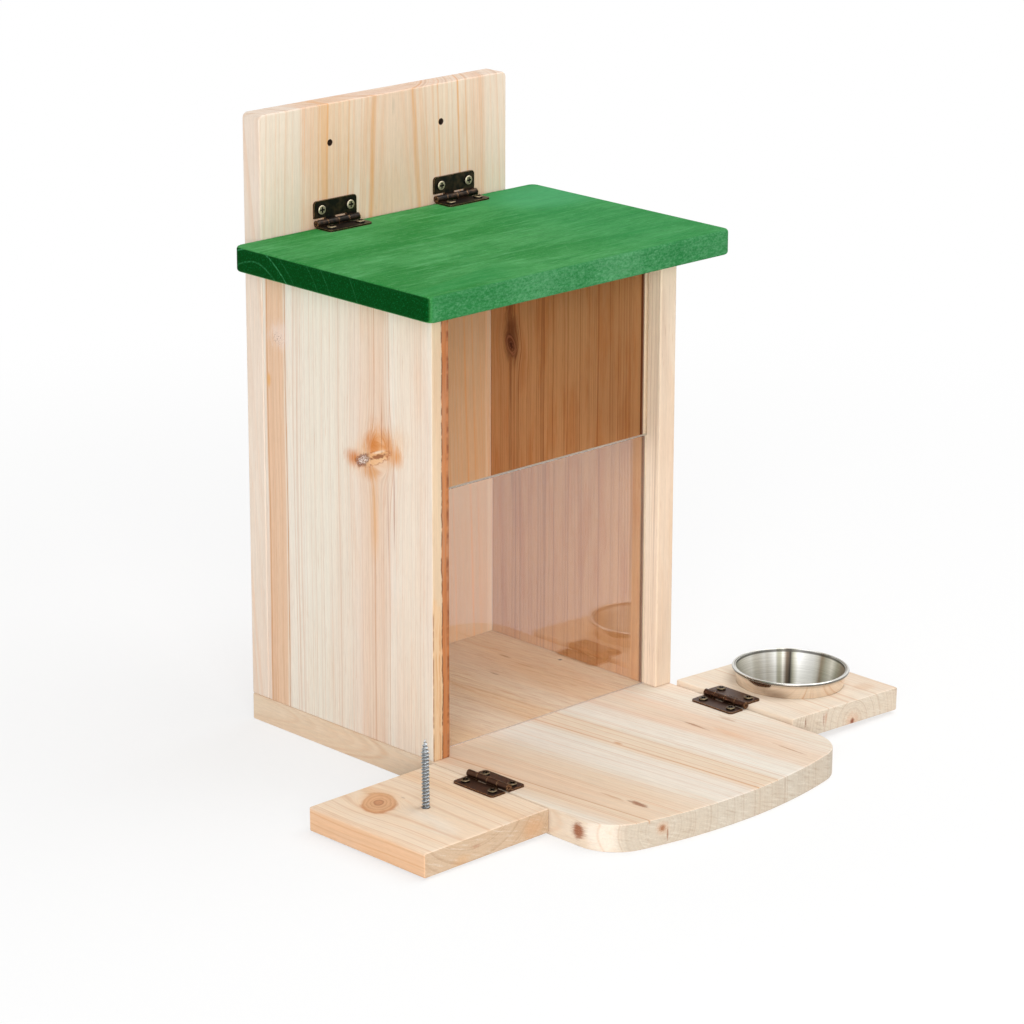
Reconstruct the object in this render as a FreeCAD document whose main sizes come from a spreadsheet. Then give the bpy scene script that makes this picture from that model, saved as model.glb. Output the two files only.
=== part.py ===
import FreeCAD, Part
import os
import re

# Squirrel feeder box: a nut box with a hinged roof, a sliding clear pane and two fold-up wings.
# +Z is up, the open front faces -Y and the back board's rear face is the +Y end.
# The origin is on the standing surface, under the middle of the overall box.

SIZES = [
    # overall
    ("overall_height", 270.0),
    ("overall_depth", 230.0),
    ("edge_round", 0.7),
    ("cut_margin", 1.0),
    # nut box
    ("box_width", 142.0),
    ("box_depth", 117.0),
    ("box_top", 206.5),
    ("back_thickness", 11.0),
    ("back_corner", 2.5),
    ("side_thickness", 9.5),
    ("floor_thickness", 12.0),
    ("platform_corner", 20.0),
    ("platform_arc", 230.0),
    # roof
    ("roof_width", 174.0),
    ("roof_length", 122.0),
    ("roof_thickness", 11.0),
    ("roof_gap", 0.7),
    ("roof_corner", 4.0),
    ("roof_round", 1.4),
    # pane and its grooves
    ("pane_thickness", 2.0),
    ("pane_tall", 114.0),
    ("pane_edge_round", 0.3),
    ("pane_setback", 8.0),
    ("pane_play", 0.5),
    ("pane_foot_gap", 0.1),
    ("groove_depth", 4.5),
    # wings
    ("wing_width", 68.2),
    ("wing_length", 69.5),
    ("wing_thickness", 10.5),
    ("wing_gap", 0.8),
    ("left_setback", 0.5),
    ("right_setback", 2.5),
    ("left_droop", 0.6),
    ("right_droop", 1.9),
    ("right_lift", 2.1),
    ("right_axis_inset", 0.8),
    ("right_edge_gap", 0.15),
    # hinges
    ("hinge_length", 24.0),
    ("leaf_width", 9.5),
    ("leaf_thickness", 0.8),
    ("leaf_corner", 1.6),
    ("barrel_radius", 1.5),
    ("barrel_lift", 0.4),
    ("pin_radius", 0.8),
    ("pin_play", 0.05),
    ("knuckle_gap", 0.2),
    ("slot_clearance", 0.5),
    ("roof_hinge_spacing", 69.0),
    ("roof_hinge_shift", 4.5),
    ("wing_hinge_setback", 34.0),
    # hinge screws
    ("screw_end_inset", 3.9),
    ("screw_edge_inset", 3.9),
    ("head_radius", 2.0),
    ("head_rise", 0.9),
    ("head_round", 0.4),
    ("shank_radius", 1.0),
    ("shank_length", 6.0),
    ("point_length", 2.0),
    ("tip_radius", 0.15),
    ("recess_length", 2.5),
    ("recess_width", 0.8),
    ("recess_depth", 0.6),
    ("screw_play", 0.05),
    # screws that hold the boards together
    ("board_head_radius", 3.2),
    ("board_head_height", 2.4),
    ("board_head_sink", 0.2),
    ("board_shank_radius", 1.5),
    ("board_screw_length", 32.0),
    ("board_point_length", 3.0),
    ("board_tip_radius", 0.3),
    ("back_screw_rise", 38.0),
    ("back_screw_drop", 36.5),
    ("floor_screw_front", 25.0),
    ("floor_screw_rear", 21.0),
    ("floor_back_screw_side", 40.0),
    # corn screw
    ("corn_screw_reach", 35.2),
    ("corn_screw_setback", 34.1),
    ("corn_core_radius", 1.35),
    ("corn_thread_radius", 1.9),
    ("corn_thread_pitch", 1.5),
    ("corn_ridge_width", 1.1),
    ("corn_screw_length", 40.0),
    ("corn_point_length", 4.0),
    ("corn_tip_radius", 0.12),
    ("corn_head_radius", 3.5),
    ("corn_head_height", 2.5),
    ("corn_recess_length", 4.2),
    ("corn_recess_width", 0.9),
    ("corn_recess_depth", 1.0),
    # bowl
    ("bowl_reach", 38.5),
    ("bowl_setback", 36.5),
    ("bowl_height", 17.0),
    ("bowl_stand", 7.0),
    ("bowl_rim_radius", 25.9),
    ("bowl_bead_radius", 0.7),
    ("bowl_bead_drop", 0.35),
    ("bowl_mouth_radius", 24.9),
    ("bowl_base_radius", 22.0),
    ("bowl_wall", 0.6),
    ("bowl_base_round", 2.0),
    ("bowl_hole_gap", 0.1),
    # holes for hanging the box
    ("wall_hole_radius", 1.5),
    ("wall_hole_spacing", 64.0),
    ("wall_hole_drop", 17.0),
]

doc = FreeCAD.newDocument("squirrel_feeder_box")
sheet = doc.addObject("Spreadsheet::Sheet", "Sizes")
for row, (alias, value) in enumerate(SIZES, start=1):
    sheet.set(f"A{row}", alias.replace("_", " "))
    sheet.set(f"B{row}", str(value))
    sheet.setAlias(f"B{row}", alias)
doc.recompute()

ALIAS = re.compile(r"\b[a-z]+(?:_[a-z]+)+\b")

# The sign of x on the left and on the right.
SIDES = ("-", "")

# The turn of a piece built along +Z that goes forwards into the back, upwards into the floor
# or down into wood.
TURNS = {"forwards": ("1; 0; 0", "90"), "upwards": ("0; 0; 1", "0"), "down": ("1; 0; 0", "180")}

# How near two lengths are that count as the same.
SAME = 0.001

# Places that several pieces share, as formulas of the sheet's cells.
BACK = "(overall_depth / 2)"
BOARD_FACE = "(overall_depth / 2 - back_thickness)"
BOX_FRONT = "(overall_depth / 2 - box_depth)"
HALF = "(box_width / 2)"
INNER = "(box_width / 2 - side_thickness)"
PANE_FRONT = "(overall_depth / 2 - box_depth + pane_setback)"
AXIS_RISE = "(barrel_radius + barrel_lift)"
ROOF_AXIS_Y = f"({BOARD_FACE} - {AXIS_RISE})"
ROOF_AXIS_Z = f"(box_top + roof_thickness + {AXIS_RISE})"
WING_AXIS_Y = f"({BOX_FRONT} - wing_hinge_setback)"
WING_AXIS_Z = f"(floor_thickness + {AXIS_RISE})"
LEFT_AXIS_X = "(-box_width / 2 - wing_gap / 2)"
RIGHT_AXIS_X = "(box_width / 2 - right_axis_inset)"
WALL_HOLE_Z = "(overall_height - wall_hole_drop)"
RIGHT_EDGE = "(barrel_radius + right_edge_gap)"
RIGHT_TOP = f"(right_lift - {AXIS_RISE})"
SCREW_ALONG = "(hinge_length / 2 - screw_end_inset)"
SCREW_ACROSS = "(leaf_width - screw_edge_inset)"


def formula(text):
    """The text with each size's name pointed at its cell."""
    return ALIAS.sub(lambda name: "Sizes." + name.group(0), text)


def size(alias):
    return float(sheet.get(alias))


def at(x="0", y="0", z="0"):
    return f"placement(vector({x}; {y}; {z}); rotation(vector(0; 0; 1); 0))"


def turned(x, y, z, axis, degrees):
    return f"placement(vector({x}; {y}; {z}); rotation(vector({axis}); {degrees}))"


def inside(frame, place):
    """A place given in a frame that has a place of its own."""
    return f"{frame} * {place}"


def make(kind, label, place=None, **values):
    """One document object, its properties bound to formulas."""
    item = doc.addObject(kind, label)
    item.Label = label
    for name, text in values.items():
        item.setExpression(name, formula(text))
    if place:
        item.setExpression("Placement", formula(place))
    return item


def box(label, x, y, z, long, wide, tall):
    return make("Part::Box", label, at(x, y, z), Length=long, Width=wide, Height=tall)


def rod(label, radius, height, place):
    return make("Part::Cylinder", label, place, Radius=radius, Height=height)


def cone(label, low, high, height, place):
    return make("Part::Cone", label, place, Radius1=low, Radius2=high, Height=height)


def join(label, pieces, place=None):
    item = make("Part::MultiFuse", label, place)
    item.Shapes = pieces
    return item


def cut(label, base, tools, place=None):
    item = make("Part::Cut", label, place)
    item.Base = base
    item.Tool = tools[0] if len(tools) == 1 else join(label + "_tools", tools)
    return item


def round_edges(label, base, radius, wanted, place=None):
    """A fillet on the base's edges that the test picks out."""
    doc.recompute()
    item = make("Part::Fillet", label, place)
    item.Base = base
    item.Edges = [(i, radius, radius) for i, edge in enumerate(base.Shape.Edges, start=1) if wanted(edge)]
    return item


def every_edge(edge):
    return True


def group(label, pieces):
    item = make("Part::Compound", label)
    item.Links = pieces
    return item


def runs_along(edge, axis):
    """True for a straight edge along x, y or z (0, 1 or 2)."""
    if edge.Curve.TypeId != "Part::GeomLine":
        return False
    direction = edge.tangentAt(edge.FirstParameter)
    return abs(abs(direction[axis]) - 1) < 1e-6


def is_circle(edge):
    return edge.Curve.TypeId == "Part::GeomCircle"


def middle(edge):
    return edge.valueAt((edge.FirstParameter + edge.LastParameter) / 2)


# Boards of the nut box and the screws that hold them together
def board_screw(label, x, y, z, heading):
    """A countersunk wood screw; its head's outer face is at the place given."""
    head = cone(label + "_head", "board_head_radius", "board_shank_radius", "board_head_height", at())
    shank_length = "(board_screw_length - board_head_height - board_point_length)"
    shank = rod(label + "_shank", "board_shank_radius", shank_length, at(z="board_head_height"))
    tip_z = "(board_screw_length - board_point_length)"
    point = cone(label + "_point", "board_shank_radius", "board_tip_radius", "board_point_length",
                 at(z=tip_z))
    return join(label, [head, shank, point], turned(x, y, z, *TURNS[heading]))


def board_screw_places(kind):
    """The places of the hidden screws: from behind into the sides, or from below into sides and back."""
    side_x = "(box_width / 2 - side_thickness / 2)"
    if kind == "back":
        behind = f"({BACK} - board_head_sink)"
        heights = ["(floor_thickness + back_screw_rise)", "(box_top - back_screw_drop)"]
        return [(f"({sign}{side_x})", behind, height, "forwards") for sign in SIDES for height in heights]
    depths = [f"({BOX_FRONT} + floor_screw_front)", f"({BOARD_FACE} - floor_screw_rear)"]
    sides = [(f"({sign}{side_x})", depth, "board_head_sink", "upwards")
             for sign in SIDES for depth in depths]
    back_y = f"({BACK} - back_thickness / 2)"
    backs = [(f"({sign}floor_back_screw_side)", back_y, "board_head_sink", "upwards") for sign in SIDES]
    return sides + backs


def board_screw_tools(label, places):
    """Hole tools that match the screws, open to the face that they were driven through."""
    tools = []
    for i, (x, y, z, heading) in enumerate(places):
        head = cone(f"{label}_seat_{i}", "board_head_radius", "board_shank_radius",
                    "board_head_height", at())
        mouth = rod(f"{label}_mouth_{i}", "board_head_radius", "board_head_sink", at(z="-board_head_sink"))
        hole = rod(f"{label}_hole_{i}", "board_shank_radius", "board_screw_length - board_head_height",
                   at(z="board_head_height"))
        tools.append(join(f"{label}_{i}", [head, mouth, hole], turned(x, y, z, *TURNS[heading])))
    return tools


def leaf_screw_spots(sign, lift="0"):
    """Where the two screws of a leaf meet its plate, in the hinge's frame."""
    return [(f"({end}{SCREW_ALONG})", f"({sign}{SCREW_ACROSS})", f"(leaf_thickness - {AXIS_RISE} + {lift})")
            for end in SIDES]


def pilot_holes(label, sign, lift="0"):
    """Pilot hole tools under one leaf, in the hinge's frame."""
    return [rod(f"{label}_{i}", "shank_radius", "shank_length + point_length", turned(*spot, *TURNS["down"]))
            for i, spot in enumerate(leaf_screw_spots(sign, lift))]


def hinge_at(x, y, z, heading, tilt=None):
    """A hinge's frame: its own x is the pin, +y the fixed leaf's side and +z away from the wood."""
    if tilt is None:
        return turned(x, y, z, "0; 0; 1", heading)
    rotation = f"rotation(vector(0; 0; 1); {heading}) * rotation(vector(1; 0; 0); {tilt})"
    return f"placement(vector({x}; {y}; {z}); {rotation})"


def roof_hinge_frames(sign):
    """The frames of the upright leaf, on the back board, and of the lower leaf, on the roof."""
    x = f"({sign}roof_hinge_spacing / 2 + roof_hinge_shift)"
    upright = hinge_at(x, ROOF_AXIS_Y, ROOF_AXIS_Z, "0", "90")
    flat = hinge_at(x, ROOF_AXIS_Y, ROOF_AXIS_Z, "0")
    return upright, flat


def wing_hinge_frames(side):
    """The frames of a wing hinge, level for the platform's leaf and drooped for the wing's leaf.

    The pin's own x runs forwards on the left and backwards on the right.
    """
    if side == "left":
        return (hinge_at(LEFT_AXIS_X, WING_AXIS_Y, WING_AXIS_Z, "-90"),
                hinge_at(LEFT_AXIS_X, WING_AXIS_Y, WING_AXIS_Z, "-90", "left_droop"))
    return (hinge_at(RIGHT_AXIS_X, WING_AXIS_Y, WING_AXIS_Z, "90"),
            hinge_at(RIGHT_AXIS_X, WING_AXIS_Y, WING_AXIS_Z, "90", "right_droop"))


def along_pin(side, setback):
    """A distance in front of the nut box, as a place along the pin of that side's wing hinge."""
    if side == "left":
        return f"({setback} - wing_hinge_setback)"
    return f"(wing_hinge_setback - {setback})"


BACK_SCREWS = board_screw_places("back")
FLOOR_SCREWS = board_screw_places("floor")


def back_board():
    blank = box("back_blank", f"-{HALF}", BOARD_FACE, "floor_thickness",
                "box_width", "back_thickness", "overall_height - floor_thickness")
    top = size("overall_height")
    eased = round_edges("back_corners", blank, size("back_corner"),
                        lambda e: runs_along(e, 1) and abs(middle(e).z - top) < SAME)
    rounded = round_edges("back_eased", eased, size("edge_round"), every_edge)
    tools = [rod(f"wall_hole_{i}", "wall_hole_radius", "back_thickness + 2 * cut_margin",
                 turned(f"({sign}wall_hole_spacing / 2)", f"({BACK} + cut_margin)", WALL_HOLE_Z,
                        *TURNS["forwards"]))
             for i, sign in enumerate(SIDES)]
    tools += board_screw_tools("back_driven", BACK_SCREWS)
    tools += board_screw_tools("back_from_below", FLOOR_SCREWS[4:])
    tools += [join(f"back_pilots_{i}", pilot_holes(f"back_pilot_{i}", ""), roof_hinge_frames(sign)[0])
              for i, sign in enumerate(SIDES)]
    return cut("back_board", rounded, tools)


def side_panel(label, sign, outer_x, groove_x):
    blank = box(label + "_blank", outer_x, BOX_FRONT, "floor_thickness",
                "side_thickness", "box_depth - back_thickness", "box_top - floor_thickness")
    rounded = round_edges(label + "_eased", blank, size("edge_round"), every_edge)
    groove = box(label + "_groove", groove_x, f"{PANE_FRONT} - pane_play", "floor_thickness - cut_margin",
                 "groove_depth + cut_margin", "pane_thickness + 2 * pane_play",
                 "box_top - floor_thickness + 2 * cut_margin")
    mine = [place for place in BACK_SCREWS + FLOOR_SCREWS[:4] if place[0].startswith("(-") == (sign == "-")]
    return cut(label, rounded, [groove] + board_screw_tools(label + "_driven", mine))


def floor_board():
    blank = box("floor_blank", f"-{HALF}", "-overall_depth / 2", "0",
                "box_width", "overall_depth", "floor_thickness")
    arc = rod("floor_arc", "platform_arc", "floor_thickness", at(y="platform_arc - overall_depth / 2"))
    bowed = make("Part::Common", "floor_bowed")
    bowed.Base = blank
    bowed.Tool = arc
    turned_in = round_edges("floor_corners", bowed, size("platform_corner"),
                            lambda e: runs_along(e, 2) and middle(e).y < 0)
    eased = round_edges("floor_eased", turned_in, size("edge_round"), every_edge)
    tools = board_screw_tools("floor_driven", FLOOR_SCREWS)
    tools += [join(f"floor_{side}_pilots", pilot_holes(f"floor_{side}_pilot", ""), wing_hinge_frames(side)[0])
              for side in ("left", "right")]
    return cut("floor_board", eased, tools)


# Roof
def roof_board():
    rear = f"({BOARD_FACE} - roof_gap)"
    blank = box("roof_blank", "-roof_width / 2", f"{rear} - roof_length", "box_top",
                "roof_width", "roof_length", "roof_thickness")
    corners = round_edges("roof_corners", blank, size("roof_corner"), lambda e: runs_along(e, 2))
    eased = round_edges("roof_eased", corners, size("roof_round"), lambda e: not runs_along(e, 2))
    tools = [join(f"roof_pilots_{i}", pilot_holes(f"roof_pilot_{i}", "-"), roof_hinge_frames(sign)[1])
             for i, sign in enumerate(SIDES)]
    return cut("roof_board", eased, tools)


# Pane
def window_pane():
    width = f"(2 * ({INNER} + groove_depth - pane_play))"
    sheet_of_pane = box("pane_blank", f"-{width} / 2", PANE_FRONT, "floor_thickness + pane_foot_gap",
                        width, "pane_thickness", "pane_tall")
    return round_edges("window_pane", sheet_of_pane, size("pane_edge_round"), every_edge)


# Wings, each built level about its hinge pin and then drooped
def wing_board(label, start, edge, top, tools, frame):
    """A wing from its start along the pin, with its near edge and its top as far from the pin as given."""
    blank = box(label + "_blank", start, f"(-{edge} - wing_width)", f"({top} - wing_thickness)",
                "wing_length", "wing_width", "wing_thickness")
    eased = round_edges(label + "_eased", blank, size("edge_round"), every_edge)
    return cut(label, eased, tools, frame)


def corn_screw_foot():
    """The corn screw's place in the left hinge's frame, at the wing's underside."""
    return along_pin("left", "corn_screw_setback"), "(-corn_screw_reach)", f"(-{AXIS_RISE} - wing_thickness)"


def left_wing_board():
    x, y, z = corn_screw_foot()
    seat = cone("corn_seat", "corn_head_radius", "corn_core_radius", "corn_head_height", at(x, y, z))
    hole = rod("corn_hole", "corn_thread_radius", "wing_thickness + 2 * cut_margin",
               at(x, y, f"({z} - cut_margin)"))
    tools = pilot_holes("left_wing_pilot", "-") + [seat, hole]
    return wing_board("left_wing_board", along_pin("left", "left_setback"), "(wing_gap / 2)",
                      f"(-{AXIS_RISE})", tools, wing_hinge_frames("left")[1])


def bowl_foot():
    """The bowl's place in the right hinge's frame, at the bowl's underside."""
    return along_pin("right", "bowl_setback"), "(-bowl_reach)", f"({RIGHT_TOP} + bowl_stand - bowl_height)"


def right_wing_board():
    x, y, z = bowl_foot()
    taper = "((bowl_mouth_radius - bowl_base_radius) / bowl_height)"
    at_wood = f"(bowl_base_radius + {taper} * (bowl_height - bowl_stand) + bowl_hole_gap)"
    hole = rod("bowl_hole", at_wood, "wing_thickness + 2 * cut_margin",
               at(x, y, f"({RIGHT_TOP} - wing_thickness - cut_margin)"))
    tools = pilot_holes("right_wing_pilot", "-", "right_lift") + [hole]
    return wing_board("right_wing_board", along_pin("right", "(right_setback + wing_length)"),
                      RIGHT_EDGE, RIGHT_TOP, tools, wing_hinge_frames("right")[1])


def cross_recess(label, long, wide, low, tall):
    """The two arms of a cross recess, centred on the screw's axis."""
    return [box(label + "_recess_a", f"(-{long} / 2)", f"(-{wide} / 2)", low, long, wide, tall),
            box(label + "_recess_b", f"(-{wide} / 2)", f"(-{long} / 2)", low, wide, long, tall)]


def corn_screw():
    """A chipboard screw driven up through the left wing; its thread is a row of ridges on a core."""
    x, y, z = corn_screw_foot()
    head = cone("corn_head", "corn_head_radius", "corn_core_radius", "corn_head_height", at())
    shank = rod("corn_core", "corn_core_radius", "corn_screw_length - corn_point_length", at())
    tip_z = "(corn_screw_length - corn_point_length)"
    point = cone("corn_point", "corn_core_radius", "corn_tip_radius", "corn_point_length", at(z=tip_z))
    ridge_span = size("corn_screw_length") - size("corn_point_length") - size("corn_head_height")
    count = int(ridge_span / size("corn_thread_pitch"))
    slope = "(corn_ridge_width / 2)"
    ridges = []
    for i in range(count):
        crest = f"(corn_head_height + corn_thread_pitch * {i} + corn_thread_pitch / 2)"
        ridges.append(cone(f"corn_ridge_low_{i}", "corn_core_radius", "corn_thread_radius", slope,
                           at(z=f"({crest} - {slope})")))
        ridges.append(cone(f"corn_ridge_high_{i}", "corn_thread_radius", "corn_core_radius", slope,
                           at(z=crest)))
    body = join("corn_body", [head, shank, point] + ridges)
    recess = cross_recess("corn", "corn_recess_length", "corn_recess_width", "-cut_margin",
                          "corn_recess_depth + cut_margin")
    return cut("corn_screw", body, recess, inside(wing_hinge_frames("left")[1], at(x, y, z)))


def steel_bowl():
    x, y, z = bowl_foot()
    outer = cone("bowl_outer", "bowl_base_radius", "bowl_mouth_radius", "bowl_height", at())
    inner = cone("bowl_inner", "bowl_base_radius - bowl_wall", "bowl_mouth_radius - bowl_wall", "bowl_height",
                 at(z="bowl_wall"))
    halfway = size("bowl_height") / 2
    round_outer = round_edges("bowl_outer_round", outer, size("bowl_base_round"),
                              lambda e: is_circle(e) and middle(e).z < halfway)
    round_inner = round_edges("bowl_inner_round", inner, size("bowl_base_round") - size("bowl_wall") / 2,
                              lambda e: is_circle(e) and middle(e).z < halfway)
    shell = cut("bowl_shell", round_outer, [round_inner])
    bead = make("Part::Torus", "bowl_bead", at(z="bowl_height - bowl_bead_drop"),
                Radius1="bowl_rim_radius - bowl_bead_radius", Radius2="bowl_bead_radius")
    lip_outer = rod("bowl_lip_outer", "bowl_rim_radius - bowl_bead_radius", "bowl_wall",
                    at(z="bowl_height - bowl_wall"))
    lip_inner = rod("bowl_lip_inner", "bowl_mouth_radius - bowl_wall", "bowl_wall + 2 * cut_margin",
                    at(z="bowl_height - bowl_wall - cut_margin"))
    lip = cut("bowl_lip", lip_outer, [lip_inner])
    return join("steel_bowl", [shell, lip, bead], inside(wing_hinge_frames("right")[1], at(x, y, z)))


# Hinges: two leaves rolled round one pin, with two knuckles each
def knuckle_cutters(label, quarters):
    """Clears the other leaf's knuckles, at the quarters of the barrel given, with room at each end."""
    across = "(2 * barrel_radius + 2 * slot_clearance)"
    cutters = []
    for quarter in quarters:
        start = f"(hinge_length * {quarter} / 4 - hinge_length / 2 - knuckle_gap / 2)"
        cutters.append(box(f"{label}_slot_{quarter}", start, f"(-{across} / 2)", f"(-{across})",
                           "hinge_length / 4 + knuckle_gap", across, f"2 * {across}"))
    return cutters


def leaf(label, sign, frame, lift="0"):
    """One leaf in the hinge's frame, its plate on the wood, on the pin's +y side or, for "-", its -y side."""
    low = f"({lift} - {AXIS_RISE})"
    start = "(-leaf_width)" if sign else "0"
    plate = box(label + "_plate", "(-hinge_length / 2)", start, low,
                "hinge_length", "leaf_width", "leaf_thickness")
    far = size("leaf_width")
    rounded = round_edges(label + "_rounded", plate, size("leaf_corner"),
                          lambda e: runs_along(e, 2) and abs(abs(middle(e).y) - far) < SAME)
    barrel = rod(label + "_barrel", "barrel_radius", "hinge_length",
                 turned("(-hinge_length / 2)", "0", "0", "0; 1; 0", "90"))
    blank = join(label + "_blank", [rounded, barrel])
    holes = [rod(f"{label}_hole_{i}", "shank_radius + screw_play", "leaf_thickness + 2 * cut_margin",
                 at(x, y, f"({low} - cut_margin)"))
             for i, (x, y, z) in enumerate(leaf_screw_spots(sign, lift))]
    bore = rod(label + "_bore", "pin_radius + pin_play", "hinge_length + 2 * cut_margin",
               turned("(-hinge_length / 2 - cut_margin)", "0", "0", "0; 1; 0", "90"))
    others = (1, 3) if sign else (0, 2)
    return cut(label, blank, knuckle_cutters(label, others) + holes + [bore], frame)


def pin(label, frame):
    lying = turned("(-hinge_length / 2)", "0", "0", "0; 1; 0", "90")
    return rod(label, "pin_radius", "hinge_length", inside(frame, lying))


def pan_screw(label, place):
    """A small pan-head screw pointing down from the place given, with a cross recess."""
    head = rod(label + "_head", "head_radius", "head_rise", at())
    domed = round_edges(label + "_domed", head, size("head_round"),
                        lambda e: is_circle(e) and middle(e).z > size("head_rise") / 2)
    shank = rod(label + "_shank", "shank_radius", "shank_length", at(z="-shank_length"))
    point = cone(label + "_point", "tip_radius", "shank_radius", "point_length",
                 at(z="(-shank_length - point_length)"))
    body = join(label + "_body", [domed, shank, point])
    recess = cross_recess(label, "recess_length", "recess_width", "(head_rise - recess_depth)", "head_rise")
    return cut(label, body, recess, place)


def hinge_screws(label, frames, sign, lift="0"):
    """The screws of the leaves that stand in the frames given, on the same side of their pins."""
    screws = [pan_screw(f"{label}_{i}_{k}", inside(frame, at(*spot)))
              for i, frame in enumerate(frames) for k, spot in enumerate(leaf_screw_spots(sign, lift))]
    return group(label, screws)


def board_screws(label, places):
    return group(label, [board_screw(f"{label}_{i}", *place) for i, place in enumerate(places)])


def build():
    nodes = [
        back_board(),
        side_panel("left_side_panel", "-", f"-{HALF}", f"(-{INNER} - groove_depth)"),
        side_panel("right_side_panel", "", INNER, f"({INNER} - cut_margin)"),
        floor_board(),
        roof_board(),
        window_pane(),
        left_wing_board(),
        right_wing_board(),
        corn_screw(),
        steel_bowl(),
        board_screws("back_to_side_screws", BACK_SCREWS),
        board_screws("floor_to_box_screws", FLOOR_SCREWS),
    ]
    for name, sign in zip(("left", "right"), SIDES):
        upright, flat = roof_hinge_frames(sign)
        nodes.append(leaf(f"{name}_roof_hinge_upper_leaf", "", upright))
        nodes.append(leaf(f"{name}_roof_hinge_lower_leaf", "-", flat))
        nodes.append(pin(f"{name}_roof_hinge_pin", flat))
    uprights, flats = zip(*[roof_hinge_frames(sign) for sign in SIDES])
    nodes.append(hinge_screws("roof_hinge_upper_screws", uprights, ""))
    nodes.append(hinge_screws("roof_hinge_lower_screws", flats, "-"))
    for name, lift in (("left", "0"), ("right", "right_lift")):
        level, drooped = wing_hinge_frames(name)
        nodes.append(leaf(f"{name}_wing_hinge_inner_leaf", "", level))
        nodes.append(leaf(f"{name}_wing_hinge_outer_leaf", "-", drooped, lift))
        nodes.append(pin(f"{name}_wing_hinge_pin", level))
        nodes.append(hinge_screws(f"{name}_wing_hinge_inner_screws", [level], ""))
        nodes.append(hinge_screws(f"{name}_wing_hinge_outer_screws", [drooped], "-", lift))
    return nodes


def check(nodes):
    doc.recompute()
    for item in doc.Objects:
        bad = [state for state in item.State if state in ("Invalid", "Error")]
        if bad:
            raise SystemExit(f"{item.Label} is {bad}")
    for node in nodes:
        if node.Shape.isNull() or not node.Shape.isValid() or not node.Shape.Solids:
            raise SystemExit(f"{node.Label} has no valid solid")


def main():
    nodes = build()
    check(nodes)
    os.makedirs("parts", exist_ok=True)
    whole = FreeCAD.BoundBox()
    for node in nodes:
        node.Shape.exportStep(f"parts/{node.Label}.step")
        whole.add(node.Shape.optimalBoundingBox(False))
        print(f"{node.Label}: {len(node.Shape.Solids)} solids, {node.Shape.Volume:.1f} mm3")
    print(f"overall {whole.XLength:.2f} x {whole.YLength:.2f} x {whole.ZLength:.2f} mm")
    print(f"x {whole.XMin:.2f} to {whole.XMax:.2f}, y {whole.YMin:.2f} to {whole.YMax:.2f}, "
          f"lowest {whole.ZMin:.3f}")


main()
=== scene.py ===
import math

import bmesh
import bpy
from mathutils import Matrix, Vector

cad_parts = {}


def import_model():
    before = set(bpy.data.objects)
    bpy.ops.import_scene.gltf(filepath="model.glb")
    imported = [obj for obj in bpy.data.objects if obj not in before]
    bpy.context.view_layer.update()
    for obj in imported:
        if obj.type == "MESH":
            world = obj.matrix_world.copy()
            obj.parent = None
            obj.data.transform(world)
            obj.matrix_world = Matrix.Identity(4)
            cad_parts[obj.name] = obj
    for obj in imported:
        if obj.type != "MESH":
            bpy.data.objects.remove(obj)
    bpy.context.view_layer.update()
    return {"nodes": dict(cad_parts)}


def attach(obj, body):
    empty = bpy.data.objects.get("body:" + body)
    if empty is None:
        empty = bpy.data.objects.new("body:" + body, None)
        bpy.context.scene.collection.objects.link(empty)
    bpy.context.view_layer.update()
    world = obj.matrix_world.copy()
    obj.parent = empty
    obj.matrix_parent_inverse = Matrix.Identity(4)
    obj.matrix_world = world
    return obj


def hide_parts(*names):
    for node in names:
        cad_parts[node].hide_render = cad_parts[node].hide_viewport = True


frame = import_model()
nodes = frame["nodes"]

MM = 0.001
PER_METRE = 1000.0


# Shader arithmetic

class Signal:
    """A socket of a node tree, for use in plain arithmetic."""

    def __init__(self, tree, socket):
        self.tree = tree
        self.socket = socket

    def math(self, operation, *others):
        node = self.tree.nodes.new("ShaderNodeMath")
        node.operation = operation
        for slot, value in zip(node.inputs, (self, *others)):
            feed(self.tree, slot, value)
        return Signal(self.tree, node.outputs[0])

    def __add__(self, other):
        return self.math("ADD", other)

    def __sub__(self, other):
        return self.math("SUBTRACT", other)

    def __mul__(self, other):
        return self.math("MULTIPLY", other)

    def __truediv__(self, other):
        return self.math("DIVIDE", other)

    def absolute(self):
        return self.math("ABSOLUTE")

    def floor(self):
        return self.math("FLOOR")

    def fraction(self):
        return self.math("FRACT")

    def root(self):
        return self.math("SQRT")

    def power(self, exponent):
        return self.math("POWER", exponent)

    def at_least(self, other):
        return self.math("MAXIMUM", other)

    def at_most(self, other):
        return self.math("MINIMUM", other)

    def rest(self):
        """One minus the signal."""
        return self.math("MULTIPLY_ADD", -1.0, 1.0)

    def rise(self, low, high):
        """0 at low, 1 at high and beyond, smooth between; low may be the larger."""
        node = self.tree.nodes.new("ShaderNodeMapRange")
        node.interpolation_type = "SMOOTHSTEP"
        feed(self.tree, node.inputs["Value"], self)
        node.inputs["From Min"].default_value = min(low, high)
        node.inputs["From Max"].default_value = max(low, high)
        node.inputs["To Min"].default_value = 0.0 if low < high else 1.0
        node.inputs["To Max"].default_value = 1.0 if low < high else 0.0
        return Signal(self.tree, node.outputs["Result"])

    def between(self, low, high, soft):
        """1 between low and high, 0 outside, soft at both ends."""
        return self.rise(low - soft, low + soft) * self.rise(high + soft, high - soft)

    def line(self, centre, width):
        """1 at the centre, 0 a width away on either side."""
        return (self - centre).absolute().rise(width, 0.0)


def feed(tree, slot, value):
    if isinstance(value, Signal):
        tree.links.new(value.socket, slot)
    else:
        slot.default_value = value


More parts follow.
